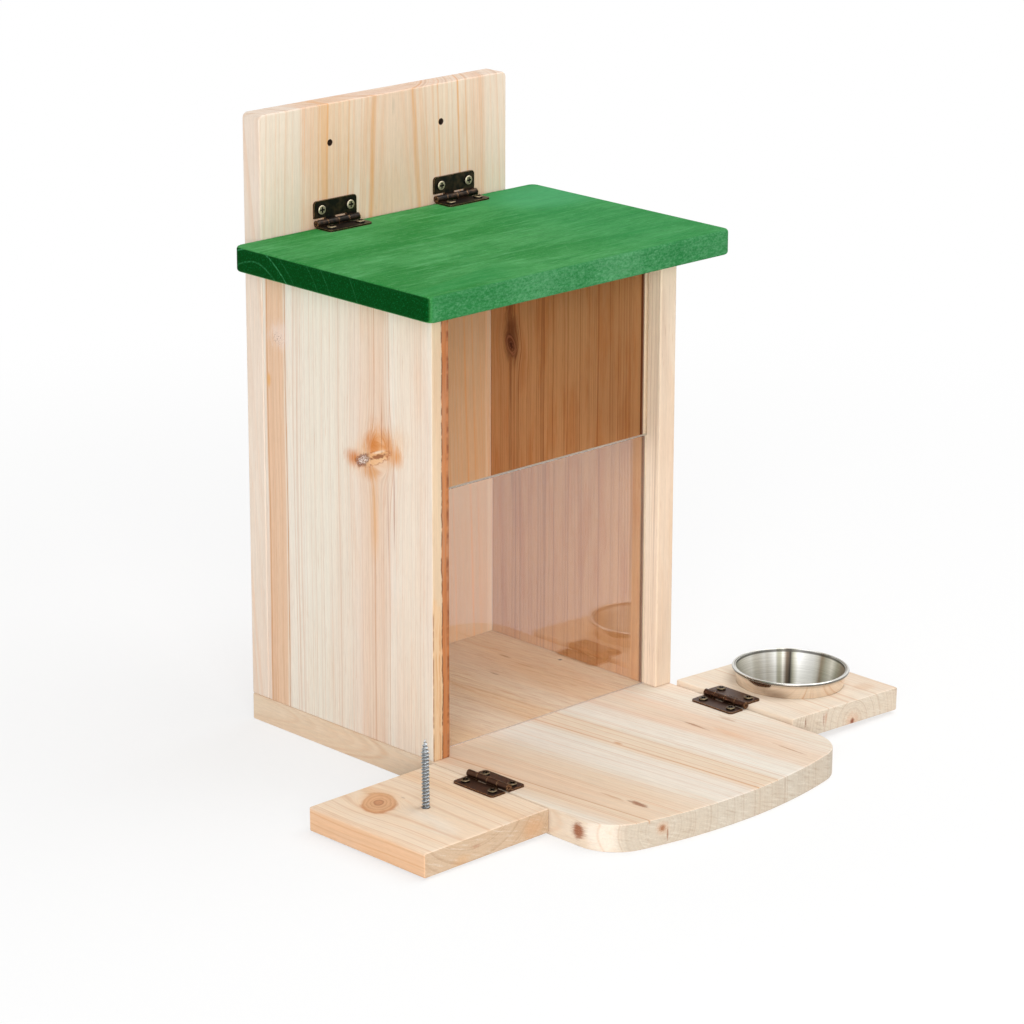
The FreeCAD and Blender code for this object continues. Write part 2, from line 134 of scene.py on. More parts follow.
def vector(tree, x, y, z):
    node = tree.nodes.new("ShaderNodeCombineXYZ")
    for slot, value in zip(node.inputs, (x, y, z)):
        feed(tree, slot, value)
    return Signal(tree, node.outputs[0])


def split(tree, value):
    node = tree.nodes.new("ShaderNodeSeparateXYZ")
    feed(tree, node.inputs[0], value)
    return [Signal(tree, output) for output in node.outputs]


def noise(tree, place, scale=1.0, detail=2.0, roughness=0.5):
    node = tree.nodes.new("ShaderNodeTexNoise")
    feed(tree, node.inputs["Vector"], place)
    node.inputs["Scale"].default_value = scale
    node.inputs["Detail"].default_value = detail
    node.inputs["Roughness"].default_value = roughness
    return Signal(tree, node.outputs["Fac"])


def chance(tree, number):
    """A fixed random value from 0 to 1 for each whole number."""
    node = tree.nodes.new("ShaderNodeTexWhiteNoise")
    node.noise_dimensions = "1D"
    feed(tree, node.inputs["W"], number)
    return Signal(tree, node.outputs["Value"])


def mix(tree, amount, first, second):
    node = tree.nodes.new("ShaderNodeMix")
    node.data_type = "RGBA"
    feed(tree, node.inputs[0], amount)
    feed(tree, node.inputs[6], first)
    feed(tree, node.inputs[7], second)
    return Signal(tree, node.outputs[2])


def scaled(tree, colour, amount):
    """A colour made lighter or darker by a signal."""
    node = tree.nodes.new("ShaderNodeVectorMath")
    node.operation = "SCALE"
    feed(tree, node.inputs[0], colour)
    feed(tree, node.inputs["Scale"], amount)
    return Signal(tree, node.outputs[0])


def shade(red, green, blue):
    """A screen colour of 0 to 255 as linear light."""
    def linear(value):
        value = value / 255
        return value / 12.92 if value <= 0.04045 else ((value + 0.055) / 1.055) ** 2.4
    return (linear(red), linear(green), linear(blue), 1.0)


def material(name):
    made = bpy.data.materials.new(name)
    made.use_nodes = True
    tree = made.node_tree
    return made, tree, tree.nodes["Principled BSDF"]


def show_blend(tree, amount, first, second):
    """The material shows the first shader where the amount is 0, the second where it is 1."""
    blend = tree.nodes.new("ShaderNodeMixShader")
    feed(tree, blend.inputs[0], amount)
    tree.links.new(first.outputs[0], blend.inputs[1])
    tree.links.new(second.outputs[0], blend.inputs[2])
    tree.links.new(blend.outputs[0], tree.nodes["Material Output"].inputs["Surface"])


def placed(name, data):
    """A new object of the scene that holds this mesh, lamp or camera."""
    thing = bpy.data.objects.new(name, data)
    bpy.context.scene.collection.objects.link(thing)
    return thing


def place_mm(tree):
    """The three coordinates of the row frame, in millimetres."""
    node = tree.nodes.new("ShaderNodeTexCoord")
    place = split(tree, Signal(tree, node.outputs["Object"]))
    return [axis * PER_METRE for axis in place]


def own_normal(tree):
    node = tree.nodes.new("ShaderNodeTexCoord")
    return split(tree, Signal(tree, node.outputs["Normal"]))


def bump(tree, bsdf, height, distance):
    node = tree.nodes.new("ShaderNodeBump")
    node.inputs["Strength"].default_value = 1.0
    node.inputs["Distance"].default_value = distance * MM
    feed(tree, node.inputs["Height"], height)
    feed(tree, bsdf.inputs["Normal"], Signal(tree, node.outputs["Normal"]))


def edge_wear(tree, radius):
    """1 where the surface turns within the radius, 0 on flats."""
    wear_and_highlight = tree.nodes.new("ShaderNodeBevel")
    wear_and_highlight.inputs["Radius"].default_value = radius * MM
    wear_and_highlight.samples = 4
    plain = tree.nodes.new("ShaderNodeNewGeometry")
    node = tree.nodes.new("ShaderNodeVectorMath")
    node.operation = "DOT_PRODUCT"
    tree.links.new(wear_and_highlight.outputs["Normal"], node.inputs[0])
    tree.links.new(plain.outputs["Normal"], node.inputs[1])
    return Signal(tree, node.outputs["Value"]).rise(0.998, 0.93)


def dress(name, made):
    """Gives a CAD node its finished material."""
    slots = nodes[name].data.materials
    if slots:
        for index in range(len(slots)):
            slots[index] = made
    else:
        slots.append(made)


# Wood

ALONG_X, ALONG_Y, ALONG_Z = range(3)


class Grain:
    """The figure of one sawn board: rings round a pith, fibres, bands and knots.

    fine: narrow latewood lines; fibre, dash, fleck: streaks from long to short; stain,
    cloud, band: broad tones; end: where end grain shows; pores: dots; sawn: saw marks.
    """

    def __init__(self, tree, along, pith, seed, spacing=1.35, taper=0.0, sway=1.2,
                 slope=0.0, knots=()):
        """The grain runs along one axis; the pith is the rings' middle on the other two.

        The rings are a spacing apart, wander by the sway and tilt along the grain by the
        slope and the taper. A knot pushes them aside.
        """
        self.tree = tree
        self.place = place_mm(tree)
        across = [axis for axis in range(3) if axis != along]
        self.run = self.place[along]
        cross = [self.place[axis] for axis in across]
        cross[0] = cross[0] + self.run * slope
        for index, offset in enumerate((seed, seed + 40.0)):
            drift = vector(tree, cross[0] * 0.02 + offset, cross[1] * 0.02,
                           self.run * 0.008)
            wave = noise(tree, drift, detail=2.0) - 0.5
            cross[index] = cross[index] + wave * (sway * 4)
        for knot in knots:
            off = cross[knot["face"]] - knot["across"]
            leaned = (self.run - knot["run"]) / knot["stretch"]
            reach = knot["radius"] ** 2
            square = off * off + leaned * leaned
            push = square.at_least(reach).power(-1.0) * reach
            cross[knot["face"]] = off * push.rest() + knot["across"]
        self.first, self.second = cross
        off_first = self.first - pith[0]
        off_second = self.second - pith[1]
        ring = (off_first * off_first + off_second * off_second).root()
        self.ring = ring + self.run * taper
        wave = noise(tree, vector(tree, self.ring * 0.09, seed, self.run * 0.002))
        turn = self.ring / spacing + wave * 9.0
        late = turn.fraction()
        weight = chance(tree, turn.floor() + seed)
        self.fine = late.rise(0.1, 0.9) * late.rise(1.0, 0.88) * weight.power(1.6)
        self.fibre = self.streaks(1.1, 0.03, 5.0, 0.66, 0.0)
        self.fleck = self.streaks(1.7, 0.21, 4.0, 0.7, seed)
        self.dash = self.streaks(2.4, 0.09, 2.0, 0.5, seed + 7.0)
        self.stain = self.streaks(0.16, 0.02, 4.0, 0.6, seed + 3.0)
        self.cloud = self.streaks(0.05, 0.02, 3.0, 0.5, seed)
        band_place = vector(tree, self.ring * 0.04, seed * 3.1, self.run * 0.005)
        self.band = noise(tree, band_place, detail=3.0, roughness=0.55)
        self.end = own_normal(tree)[along].absolute().rise(0.6, 0.9)
        self.pores = noise(tree, vector(tree, *self.place), scale=1.9, detail=3.0)
        saw_place = vector(tree, self.first * 0.35 + self.second * 0.94,
                           self.first * 0.1 - self.second * 0.04, seed)
        self.sawn = noise(tree, saw_place, detail=4.0, roughness=0.6)

    def streaks(self, across, along, detail, roughness, seed):
        """Noise drawn out along the grain; its scales are per millimetre."""
        place = vector(self.tree, self.first * across + seed, self.second * across,
                       self.run * along)
        return noise(self.tree, place, detail=detail, roughness=roughness)

    def strong(self, rings):
        """Strong latewood lines, each given by its radius, width and weight."""
        total = None
        for radius, width, weight in rings:
            one = self.ring.line(radius, width) * weight
            total = one if total is None else total.at_least(one)
        return total * (self.fibre.rise(0.3, 0.62) * 0.7 + 0.3)

    def spot(self, centre, radii, rough=0.6, lean=0.0):
        """0 at the centre of a spot of the row frame, 1 at its radii, more outside.

        Its height leans up by that share of the way along y.
        """
        x, y, z = self.place
        off_y = y - centre[1]
        offs = (x - centre[0], off_y, z - centre[2] - off_y * lean)
        square = None
        for off, radius in zip(offs, radii):
            off = off / radius
            square = off * off if square is None else square + off * off
        return square.root() + (self.fleck - 0.5) * rough

    def blot(self, centre, radii, rough=0.6, lean=0.0):
        """1 at the centre of a soft spot of the row frame, 0 outside its radii."""
        return self.spot(centre, radii, rough, lean).rise(1.0, 0.3)

    def inside(self, low, high, soft=0.6):
        """1 inside a box of the row frame, 0 outside."""
        total = None
        for axis, bottom, top in zip(self.place, low, high):
            one = axis.between(bottom, top, soft)
            total = one if total is None else total * one
        return total


def wood_surface(tree, bsdf, grain, colour, relief=0.06, shine=0.25):
    feed(tree, bsdf.inputs["Base Color"], colour)
    feed(tree, bsdf.inputs["Roughness"], grain.fibre * 0.2 + 0.54)
    bsdf.inputs["Specular IOR Level"].default_value = shine
    height = grain.fibre * 0.5 + grain.fleck * 0.5 + grain.fine.rest() * 0.25
    bump(tree, bsdf, height, relief)


WHITE_WOOD = shade(240, 233, 221)
CREAM = shade(236, 224, 207)
PINK = shade(234, 210, 190)
AMBER = shade(206, 150, 102)
ORANGE = shade(226, 178, 134)
# Painted shade for the wood inside the box: warmer and darker than outside.
PAINTED_INSIDE_SHADE = shade(211, 165, 108)
END_GRAIN = shade(206, 188, 164)
END_LINE = shade(158, 122, 92)


def bare_wood(name, along, pith, seed, rings, tones, marks, cream=CREAM, pink=PINK,
              amber=AMBER, fine_weight=0.3, dash_weight=0.3, warm=0.35,
              end_tone=END_GRAIN, end_weight=0.6, **figure):
    """A board of bare fir; tones and marks list where it has which other colour.

    Tones lie under the grain lines and marks over them; amber is the lines' colour, or a
    function that gives it.
    """
    made, tree, bsdf = material(name)
    grain = Grain(tree, along, pith, seed, **figure)
    if callable(amber):
        amber = amber(grain)
    colour = mix(tree, grain.band.rise(0.38, 0.62), cream, pink)
    colour = mix(tree, grain.cloud.rise(0.5, 0.72) * 0.5, colour, WHITE_WOOD)
    colour = mix(tree, grain.stain.rise(0.52, 0.75) * warm, colour, ORANGE)
    for amount, tone in tones(grain):
        colour = mix(tree, amount, colour, tone)
    colour = mix(tree, grain.fine * fine_weight, colour, amber)
    colour = mix(tree, grain.dash.rise(0.6, 0.78) * dash_weight, colour, amber)
    colour = mix(tree, grain.strong(rings), colour, amber)
    colour = mix(tree, grain.end * end_weight, colour, end_tone)
    colour = mix(tree, grain.end * grain.fine * 0.3, colour, END_LINE)
    colour = mix(tree, grain.pores.rise(0.6, 0.8) * grain.end * 0.3, colour, END_LINE)
    colour = mix(tree, grain.sawn.rise(0.52, 0.72) * grain.end * 0.32, colour, END_LINE)
    colour = mix(tree, grain.sawn.rise(0.46, 0.3) * grain.end * 0.3, colour, WHITE_WOOD)
    for amount, tone in marks(grain):
        colour = mix(tree, amount, colour, tone)
    brightness = grain.fibre * 0.3 + grain.fleck * 0.2 + 0.75
    colour = scaled(tree, colour, brightness)
    wood_surface(tree, bsdf, grain, colour)
    dress(name, made)


def on_face(pith, face, spots, drift=0.0):
    """Ring radii for lines seen on a face: across position, width and weight."""
    return [(math.hypot(spot - pith[0], face - pith[1]) + drift, width, weight)
            for spot, width, weight in spots]


def upright(pith, spots):
    """Ring radii for a board whose rings stand square to its face."""
    return [(spot - pith[1], width, weight) for spot, width, weight in spots]


# Faces of the box, in mm. A panel's ends and the pane's rear are taken a little further out.
LEFT_FACE = -71
INNER_SIDE = 61.5
PANE_REAR = 8.6
BACK_FRONT = 104
PANEL_REAR = 105
PANEL_LOW = 10
PANEL_TOP = 208
PLATFORM_TOP = 12


# Back board

BACK_PITH = (4.5, 134.0)
BACK_TAPER = 0.027
BACK_LINE_HEIGHT = 245.0
HOLE_X = 32.0
HOLE_Z = 253.0
HOLE_RADIUS = 1.7


def wall_holes(grain):
    """1 inside the bores of the two holes for hanging the box, where their shade is painted
    near black, 0 on the board's front.
    """
    x, y, z = grain.place
    across = x.absolute() - HOLE_X
    up = z - HOLE_Z
    bore = (across * across + up * up).root().rise(HOLE_RADIUS + 0.25, HOLE_RADIUS - 0.05)
    return bore * y.rise(BACK_FRONT + 0.05, BACK_FRONT + 0.3)


def in_box_on_back(grain, low, high, soft=0.6, left=-INNER_SIDE):
    """1 on the back board's face inside the box, between two heights."""
    return grain.inside((left, BACK_FRONT - 1, low), (INNER_SIDE, BACK_FRONT + 1, high),
                        soft)


bare_wood(
    "back_board", ALONG_Z, BACK_PITH, seed=3.0,
    rings=on_face(BACK_PITH, BACK_FRONT, [
        (-62.4, 0.5, 0.25), (-46.5, 0.5, 0.5), (-43.0, 0.4, 0.4), (-33.6, 0.8, 0.9),
        (-30.0, 0.4, 0.3), (-22.0, 0.6, 0.75), (-19.4, 0.4, 0.3), (-15.0, 0.4, 0.4),
        (-8.7, 0.7, 0.8), (-3.5, 0.4, 0.2), (17.3, 0.8, 0.9), (21.0, 0.4, 0.2),
        (28.0, 0.4, 0.35), (36.5, 0.4, 0.4), (47.3, 0.5, 0.75), (50.6, 0.4, 0.25),
        (56.4, 0.5, 0.45), (62.0, 0.4, 0.2)], BACK_LINE_HEIGHT * BACK_TAPER),
    cream=shade(238, 215, 194), pink=shade(235, 204, 181), amber=shade(228, 166, 110),
    taper=BACK_TAPER, sway=0.45, end_weight=0.0,
    tones=lambda grain: [
        (grain.place[0].rise(-46.0, -50.0) * 0.8, shade(236, 221, 205)),
        (grain.place[0].rise(56.0, 60.0) * 0.6, shade(238, 223, 207)),
        (grain.first.between(-37.0, -33.4, 0.6) * 0.6, shade(230, 178, 128)),
        (grain.first.between(-43.0, -20.0, 4.0) * 0.3, ORANGE),
        # Painted shade inside the box: warmer and darker, more so low down and at the top under
        # the roof; the strip by the right panel takes a paler tone.
        (in_box_on_back(grain, 12, 207) * 0.66, PAINTED_INSIDE_SHADE),
        (in_box_on_back(grain, 12, 207, 0.4, left=58.6) * 0.5, shade(238, 210, 178)),
        (in_box_on_back(grain, -40, 62, 22.0) * 0.4, shade(190, 128, 66)),
        (in_box_on_back(grain, 160, 260, 20.0) * 0.3, shade(176, 116, 60))],
    marks=lambda grain: [
        (grain.blot((4.2, BACK_FRONT, 264), (1.2, 3, 4.5), 1.2) * 0.3, shade(176, 160, 140)),
        # Painted shade: the bores of the holes are painted near black.
        (wall_holes(grain) * 0.96, shade(34, 14, 6))])


# Left side panel

LEFT_PITH = (-58.0, -160.0)


def front_face(grain):
    """1 on the narrow face of a side panel that looks to the front."""
    return own_normal(grain.tree)[1].rise(-0.45, -0.8)


def bark_strip(grain):
    """The left panel's front face: inner bark at its inner side, orange lines low down."""
    x, y, z = grain.place
    broad = noise(grain.tree, vector(grain.tree, 0.0, 0.0, z * 0.035), detail=2.0)
    small = noise(grain.tree, vector(grain.tree, 3.0, 0.0, z * 0.3), detail=3.0)
    torn = noise(grain.tree, vector(grain.tree, 9.0, 0.0, z * 0.14), detail=3.0)
    edge = x + (broad - 0.5) * 2.6 + (small - 0.5) * 0.9
    front = front_face(grain)
    corner = y.rise(1.0, 0.2)
    veins = grain.fibre.rise(0.4, 0.6)
    low = (z + x * 1.2 + (small - 0.5) * 9.0).rise(2.0, -4.0) * front
    strip = edge.rise(-66.0, -65.6) * corner
    heart = (edge - (torn - 0.5) * 2.0).line(-62.6, 1.3) * corner
    crack = edge.line(-65.8, 0.6) * corner
    rim = x.line(-70.7, 0.5) * front * z.rise(80.0, 74.0)
    seam = (x + (small - 0.5) * 0.8).line(-67.2, 0.45) * front * z.rise(76.0, 66.0)
    return [(low * 0.35, shade(232, 186, 132)),
            (low * grain.dash.rise(0.48, 0.66) * 0.45, shade(206, 140, 76)),
            (rim * torn.rise(0.35, 0.55) * 0.75, shade(128, 78, 42)),
            (seam * torn.rise(0.3, 0.5) * 0.6, shade(196, 122, 62)),
            (strip * (veins * 0.2 + 0.76), shade(176, 102, 52)),
            (strip * veins * grain.stain.rise(0.4, 0.6) * 0.4, shade(208, 140, 84)),
            (heart * torn.rise(0.42, 0.6) * 0.75, shade(112, 54, 26)),
            (crack * torn.rise(0.4, 0.52) * 0.8, shade(92, 48, 24))]


def split_knot(grain):
    """The left panel's knot, cut lengthwise: flames, a torn lens and brown lines."""
    lean = -0.38
    streaks = [(28.9, 0.5, 141.0, 160.0, 8.0, 0.65), (24.6, 0.4, 138.0, 156.0, 8.0, 0.4),
               (21.4, 0.6, 104.0, 134.0, 9.0, 0.6), (25.2, 0.5, 98.0, 126.0, 9.0, 0.5)]
    x, y, z = grain.place
    outer = x.rise(-69.0, -70.0)
    flame = shade(222, 150, 84)
    line = shade(168, 84, 38)
    stem = y.line(33.6, 4.4) * z.between(96.0, 131.0, 10.0) * outer
    soft = grain.fibre.rise(0.3, 0.62) * 0.45 + 0.55

    def glow(centre, radii, rough, weight, tone=flame, tilt=0.0):
        near = grain.spot((LEFT_FACE, *centre), (9, *radii), rough, tilt)
        return near.rise(1.0, 0.0) * soft * weight, tone

    torn = noise(grain.tree, vector(grain.tree, 5.0, y * 0.5, z * 0.7), detail=3.0) - 0.5
    lens = grain.spot((LEFT_FACE, 33.5, 136.6), (9, 9.6, 2.9), 0.7, lean) + torn * 1.1
    chip = grain.spot((LEFT_FACE, 40.8, 134.4), (9, 4.6, 2.8), 0.8, lean) + torn * 1.2
    slit = grain.spot((LEFT_FACE, 31.0, 137.9), (9, 6.4, 1.3), 0.8, lean) + torn * 1.4
    return [
        glow((31.0, 140.0), (24.0, 13.0), 1.0, 0.85, shade(232, 178, 124), lean),
        glow((32.4, 145.0), (7.5, 13.0), 1.4, 0.7),
        glow((34.6, 142.0), (8.0, 8.0), 1.0, 1.0, shade(208, 126, 56)),
        glow((20.6, 140.0), (7.0, 6.6), 1.0, 0.95),
        glow((25.6, 144.0), (4.8, 9.0), 1.2, 0.9, shade(212, 134, 66)),
        glow((46.0, 134.0), (8.5, 5.6), 0.9, 1.0, shade(206, 124, 58)),
        glow((35.6, 130.4), (8.0, 6.0), 1.0, 0.95, shade(212, 142, 80)),
        (stem * (grain.fibre.rise(0.3, 0.6) * 0.4 + 0.25), shade(226, 172, 118)),
        (lens.rise(1.12, 0.7) * (grain.pores * 0.5 + 0.2), shade(240, 190, 136)),
        (lens.line(1.0, 0.22) * (torn + 0.5).rise(0.3, 0.6) * 0.65, line),
        (slit.rise(1.0, 0.5) * 0.8, shade(132, 66, 30)),
        (grain.blot((LEFT_FACE, 30.6, 140.0), (9, 5.4, 0.9), 0.6, lean) * 0.7,
         shade(246, 222, 194)),
        (chip.rise(1.15, 0.7) * 0.8, shade(124, 74, 50)),
        (chip.rise(0.85, 0.4) * grain.pores.rise(0.44, 0.54) * 0.9, shade(240, 226, 216)),
        *[(y.line(place, width) * z.between(low, high, end) * outer * weight, line)
          for place, width, low, high, end, weight in streaks]]


bare_wood(
    "left_side_panel", ALONG_Z, LEFT_PITH, seed=8.0,
    rings=upright(LEFT_PITH, [
        (101.2, 0.7, 0.8), (97.5, 0.4, 0.3), (93.4, 0.4, 0.3), (89.5, 0.7, 1.0),
        (82.5, 0.35, 0.4), (79.0, 0.3, 0.3), (74.0, 0.35, 0.3), (71.3, 0.3, 0.3),
        (61.0, 0.35, 0.3), (55.6, 0.35, 0.45), (48.0, 0.3, 0.3), (41.5, 0.4, 0.3),
        (37.6, 0.35, 0.3), (33.6, 0.45, 0.85), (28.6, 0.35, 0.3), (24.9, 0.4, 0.75),
        (19.5, 0.3, 0.2), (12.0, 0.35, 0.25), (6.0, 0.3, 0.2)]),
    cream=shade(238, 228, 213), pink=shade(235, 216, 199), amber=shade(200, 138, 88),
    sway=0.5, warm=0.22,
    tones=lambda grain: [
        (grain.second.between(90.0, 101.5, 0.8) * 0.68, shade(226, 176, 132)),
        (grain.second.between(26.0, 41.5, 3.5) * 0.42, shade(228, 190, 158)),
        (grain.second.between(46.0, 78.0, 5.0) * 0.55, shade(235, 226, 209)),
        (grain.second.between(2.0, 20.0, 5.0) * 0.4, shade(238, 214, 190)),
        (front_face(grain) * 0.85, shade(215, 187, 152)),
        # Painted shade on the panel's inner face, inside the box.
        (grain.inside((-63, 1, PANEL_LOW), (-60, PANEL_REAR, PANEL_TOP)) * 0.75, PAINTED_INSIDE_SHADE)],
    marks=lambda grain: [
        *split_knot(grain),
        (grain.blot((LEFT_FACE, 93.0, 177.6), (2, 9.0, 8.0), 2.4) * 0.55, shade(240, 222, 212)),
        (grain.blot((LEFT_FACE, 94.0, 176.0), (2, 5.5, 4.0), 1.0)
         * grain.pores.rise(0.56, 0.62) * 0.75, shade(150, 102, 82)),
        (grain.blot((LEFT_FACE, 100.4, 157.0), (2, 1.5, 4.6)) * 0.75, shade(226, 168, 98)),
        *bark_strip(grain)],
    knots=[{"run": 138.0, "face": 1, "across": 30.5, "radius": 5.0, "stretch": 1.6}])


# Right side panel

RIGHT_PITH = (58.0, -160.0)


def stained_knot(grain):
    """The right panel's knot: a dark flame over it and dark lines that run down from it."""
    x, y, z = grain.place
    dark = shade(92, 42, 16)
    inner = x.rise(62.4, 62.0)
    down = z.between(84.0, 148.0, 12.0) * inner
    near = grain.spot((61.5, 90.4, 149.6), (3, 3.4, 4.6), 0.6, 0.5)
    flame = grain.spot((61.5, 90.4, 153.0), (3, 7.0, 17.0), 0.7)
    plume = grain.spot((61.5, 91.4, 176.0), (3, 4.0, 34.0), 0.9)
    return [
        (plume.rise(1.0, 0.1) * 0.6, dark),
        (flame.rise(1.0, 0.2) * 0.75, dark),
        (y.line(91.0, 1.4) * down * grain.fibre.rise(0.3, 0.6) * 0.6, dark),
        (y.line(86.4, 1.0) * down * grain.fibre.rise(0.35, 0.6) * 0.4, dark),
        (near.rise(1.3, 0.8) * 0.6, shade(80, 36, 18)),
        (near.line(0.78, 0.2) * 0.6, shade(172, 112, 80)),
        (near.rise(0.5, 0.2) * 0.7, shade(64, 26, 12)),
        (near.line(0.35, 0.16) * grain.pores.rise(0.5, 0.6) * 0.6, shade(168, 108, 78))]


def inner_face(grain, low=(PANE_REAR, PANEL_LOW), high=(PANEL_REAR, PANEL_TOP), soft=0.6):
    """1 on the right panel's inner face between two places along y and z."""
    return grain.inside((60, *low), (62.4, *high), soft)


bare_wood(
    "right_side_panel", ALONG_Z, RIGHT_PITH, seed=15.0,
    rings=upright(RIGHT_PITH, [
        (97.0, 0.4, 0.4), (88.6, 0.5, 0.6), (85.6, 0.5, 0.8), (78.0, 0.4, 0.4),
        (69.6, 0.5, 0.7), (64.0, 0.5, 0.7), (54.9, 0.5, 0.7), (47.0, 0.4, 0.35),
        (42.0, 0.4, 0.3), (36.3, 0.5, 0.5), (29.0, 0.4, 0.3), (23.7, 0.5, 0.6),
        (16.0, 0.4, 0.35), (3.5, 0.35, 0.3), (0.4, 0.35, 0.3)]),
    # The grain lines darken towards the inner face, as painted shade inside the box.
    amber=lambda grain: mix(grain.tree, grain.place[0].rise(70.0, 62.0), AMBER,
                            shade(134, 72, 32)),
    sway=0.6, fine_weight=0.42,
    tones=lambda grain: [
        (grain.inside((70.6, -4, PANEL_LOW), (72, PANEL_REAR, PANEL_TOP)) * 0.4,
         shade(240, 222, 200)),
        # Painted shade: the inner face inside the box is warmer and darker.
        (inner_face(grain, soft=0.3) * 0.92, shade(193, 136, 80)),
        (inner_face(grain) * grain.stain.rise(0.45, 0.65) * 0.4, shade(180, 108, 54)),
        # Painted shade: darker low down, under the roof towards the front, and at the top.
        (inner_face(grain, (PANE_REAR, -60), (PANEL_REAR, 46), 22.0) * 0.5,
         shade(168, 112, 54)),
        (inner_face(grain, (-6, 112), (40, 230), 16.0) * 0.8, shade(140, 76, 32)),
        (inner_face(grain, (PANE_REAR, 180), (PANEL_REAR, 230), 16.0) * 0.35,
         shade(140, 80, 38)),
        # Painted light: the strip of the inner face in front of the pane is paler than the
        # wood.
        (grain.inside((60, -3, PANEL_LOW), (62.2, 6, PANEL_TOP)) * 0.6, shade(250, 228, 202)),
        # Painted shade: the front face is darkened.
        (front_face(grain) * 0.5, shade(226, 200, 170))],
    marks=lambda grain: [
        *stained_knot(grain),
        # Painted light: the groove's walls are painted near white.
        (grain.inside((61.8, 4.6, PANEL_LOW), (67.0, 9.6, PANEL_TOP), 0.25) * 0.95,
         shade(255, 236, 208)),
        # Painted shade: the groove is darker towards the top, under the roof.
        (grain.inside((61.8, 4.6, 165), (67.0, 9.6, 240), 22.0) * 0.6, shade(184, 132, 88)),
        # Painted shade: a dark line in the groove behind the pane.
        (grain.inside((60.5, 8.4, PANEL_LOW), (62.3, 9.8, PANEL_TOP), 0.25) * 0.95,
         shade(92, 42, 14))],
    knots=[{"run": 150.6, "face": 1, "across": 90.6, "radius": 3.6, "stretch": 1.1}])


# Floor board

FLOOR_PITH = (-57.0, 7.5)


def box_floor(grain):
    """1 on the floor board's top inside the box, behind the pane."""
    return grain.inside((-62, PANE_REAR, PLATFORM_TOP - 1),
                        (62, PANEL_REAR, PLATFORM_TOP + 1))


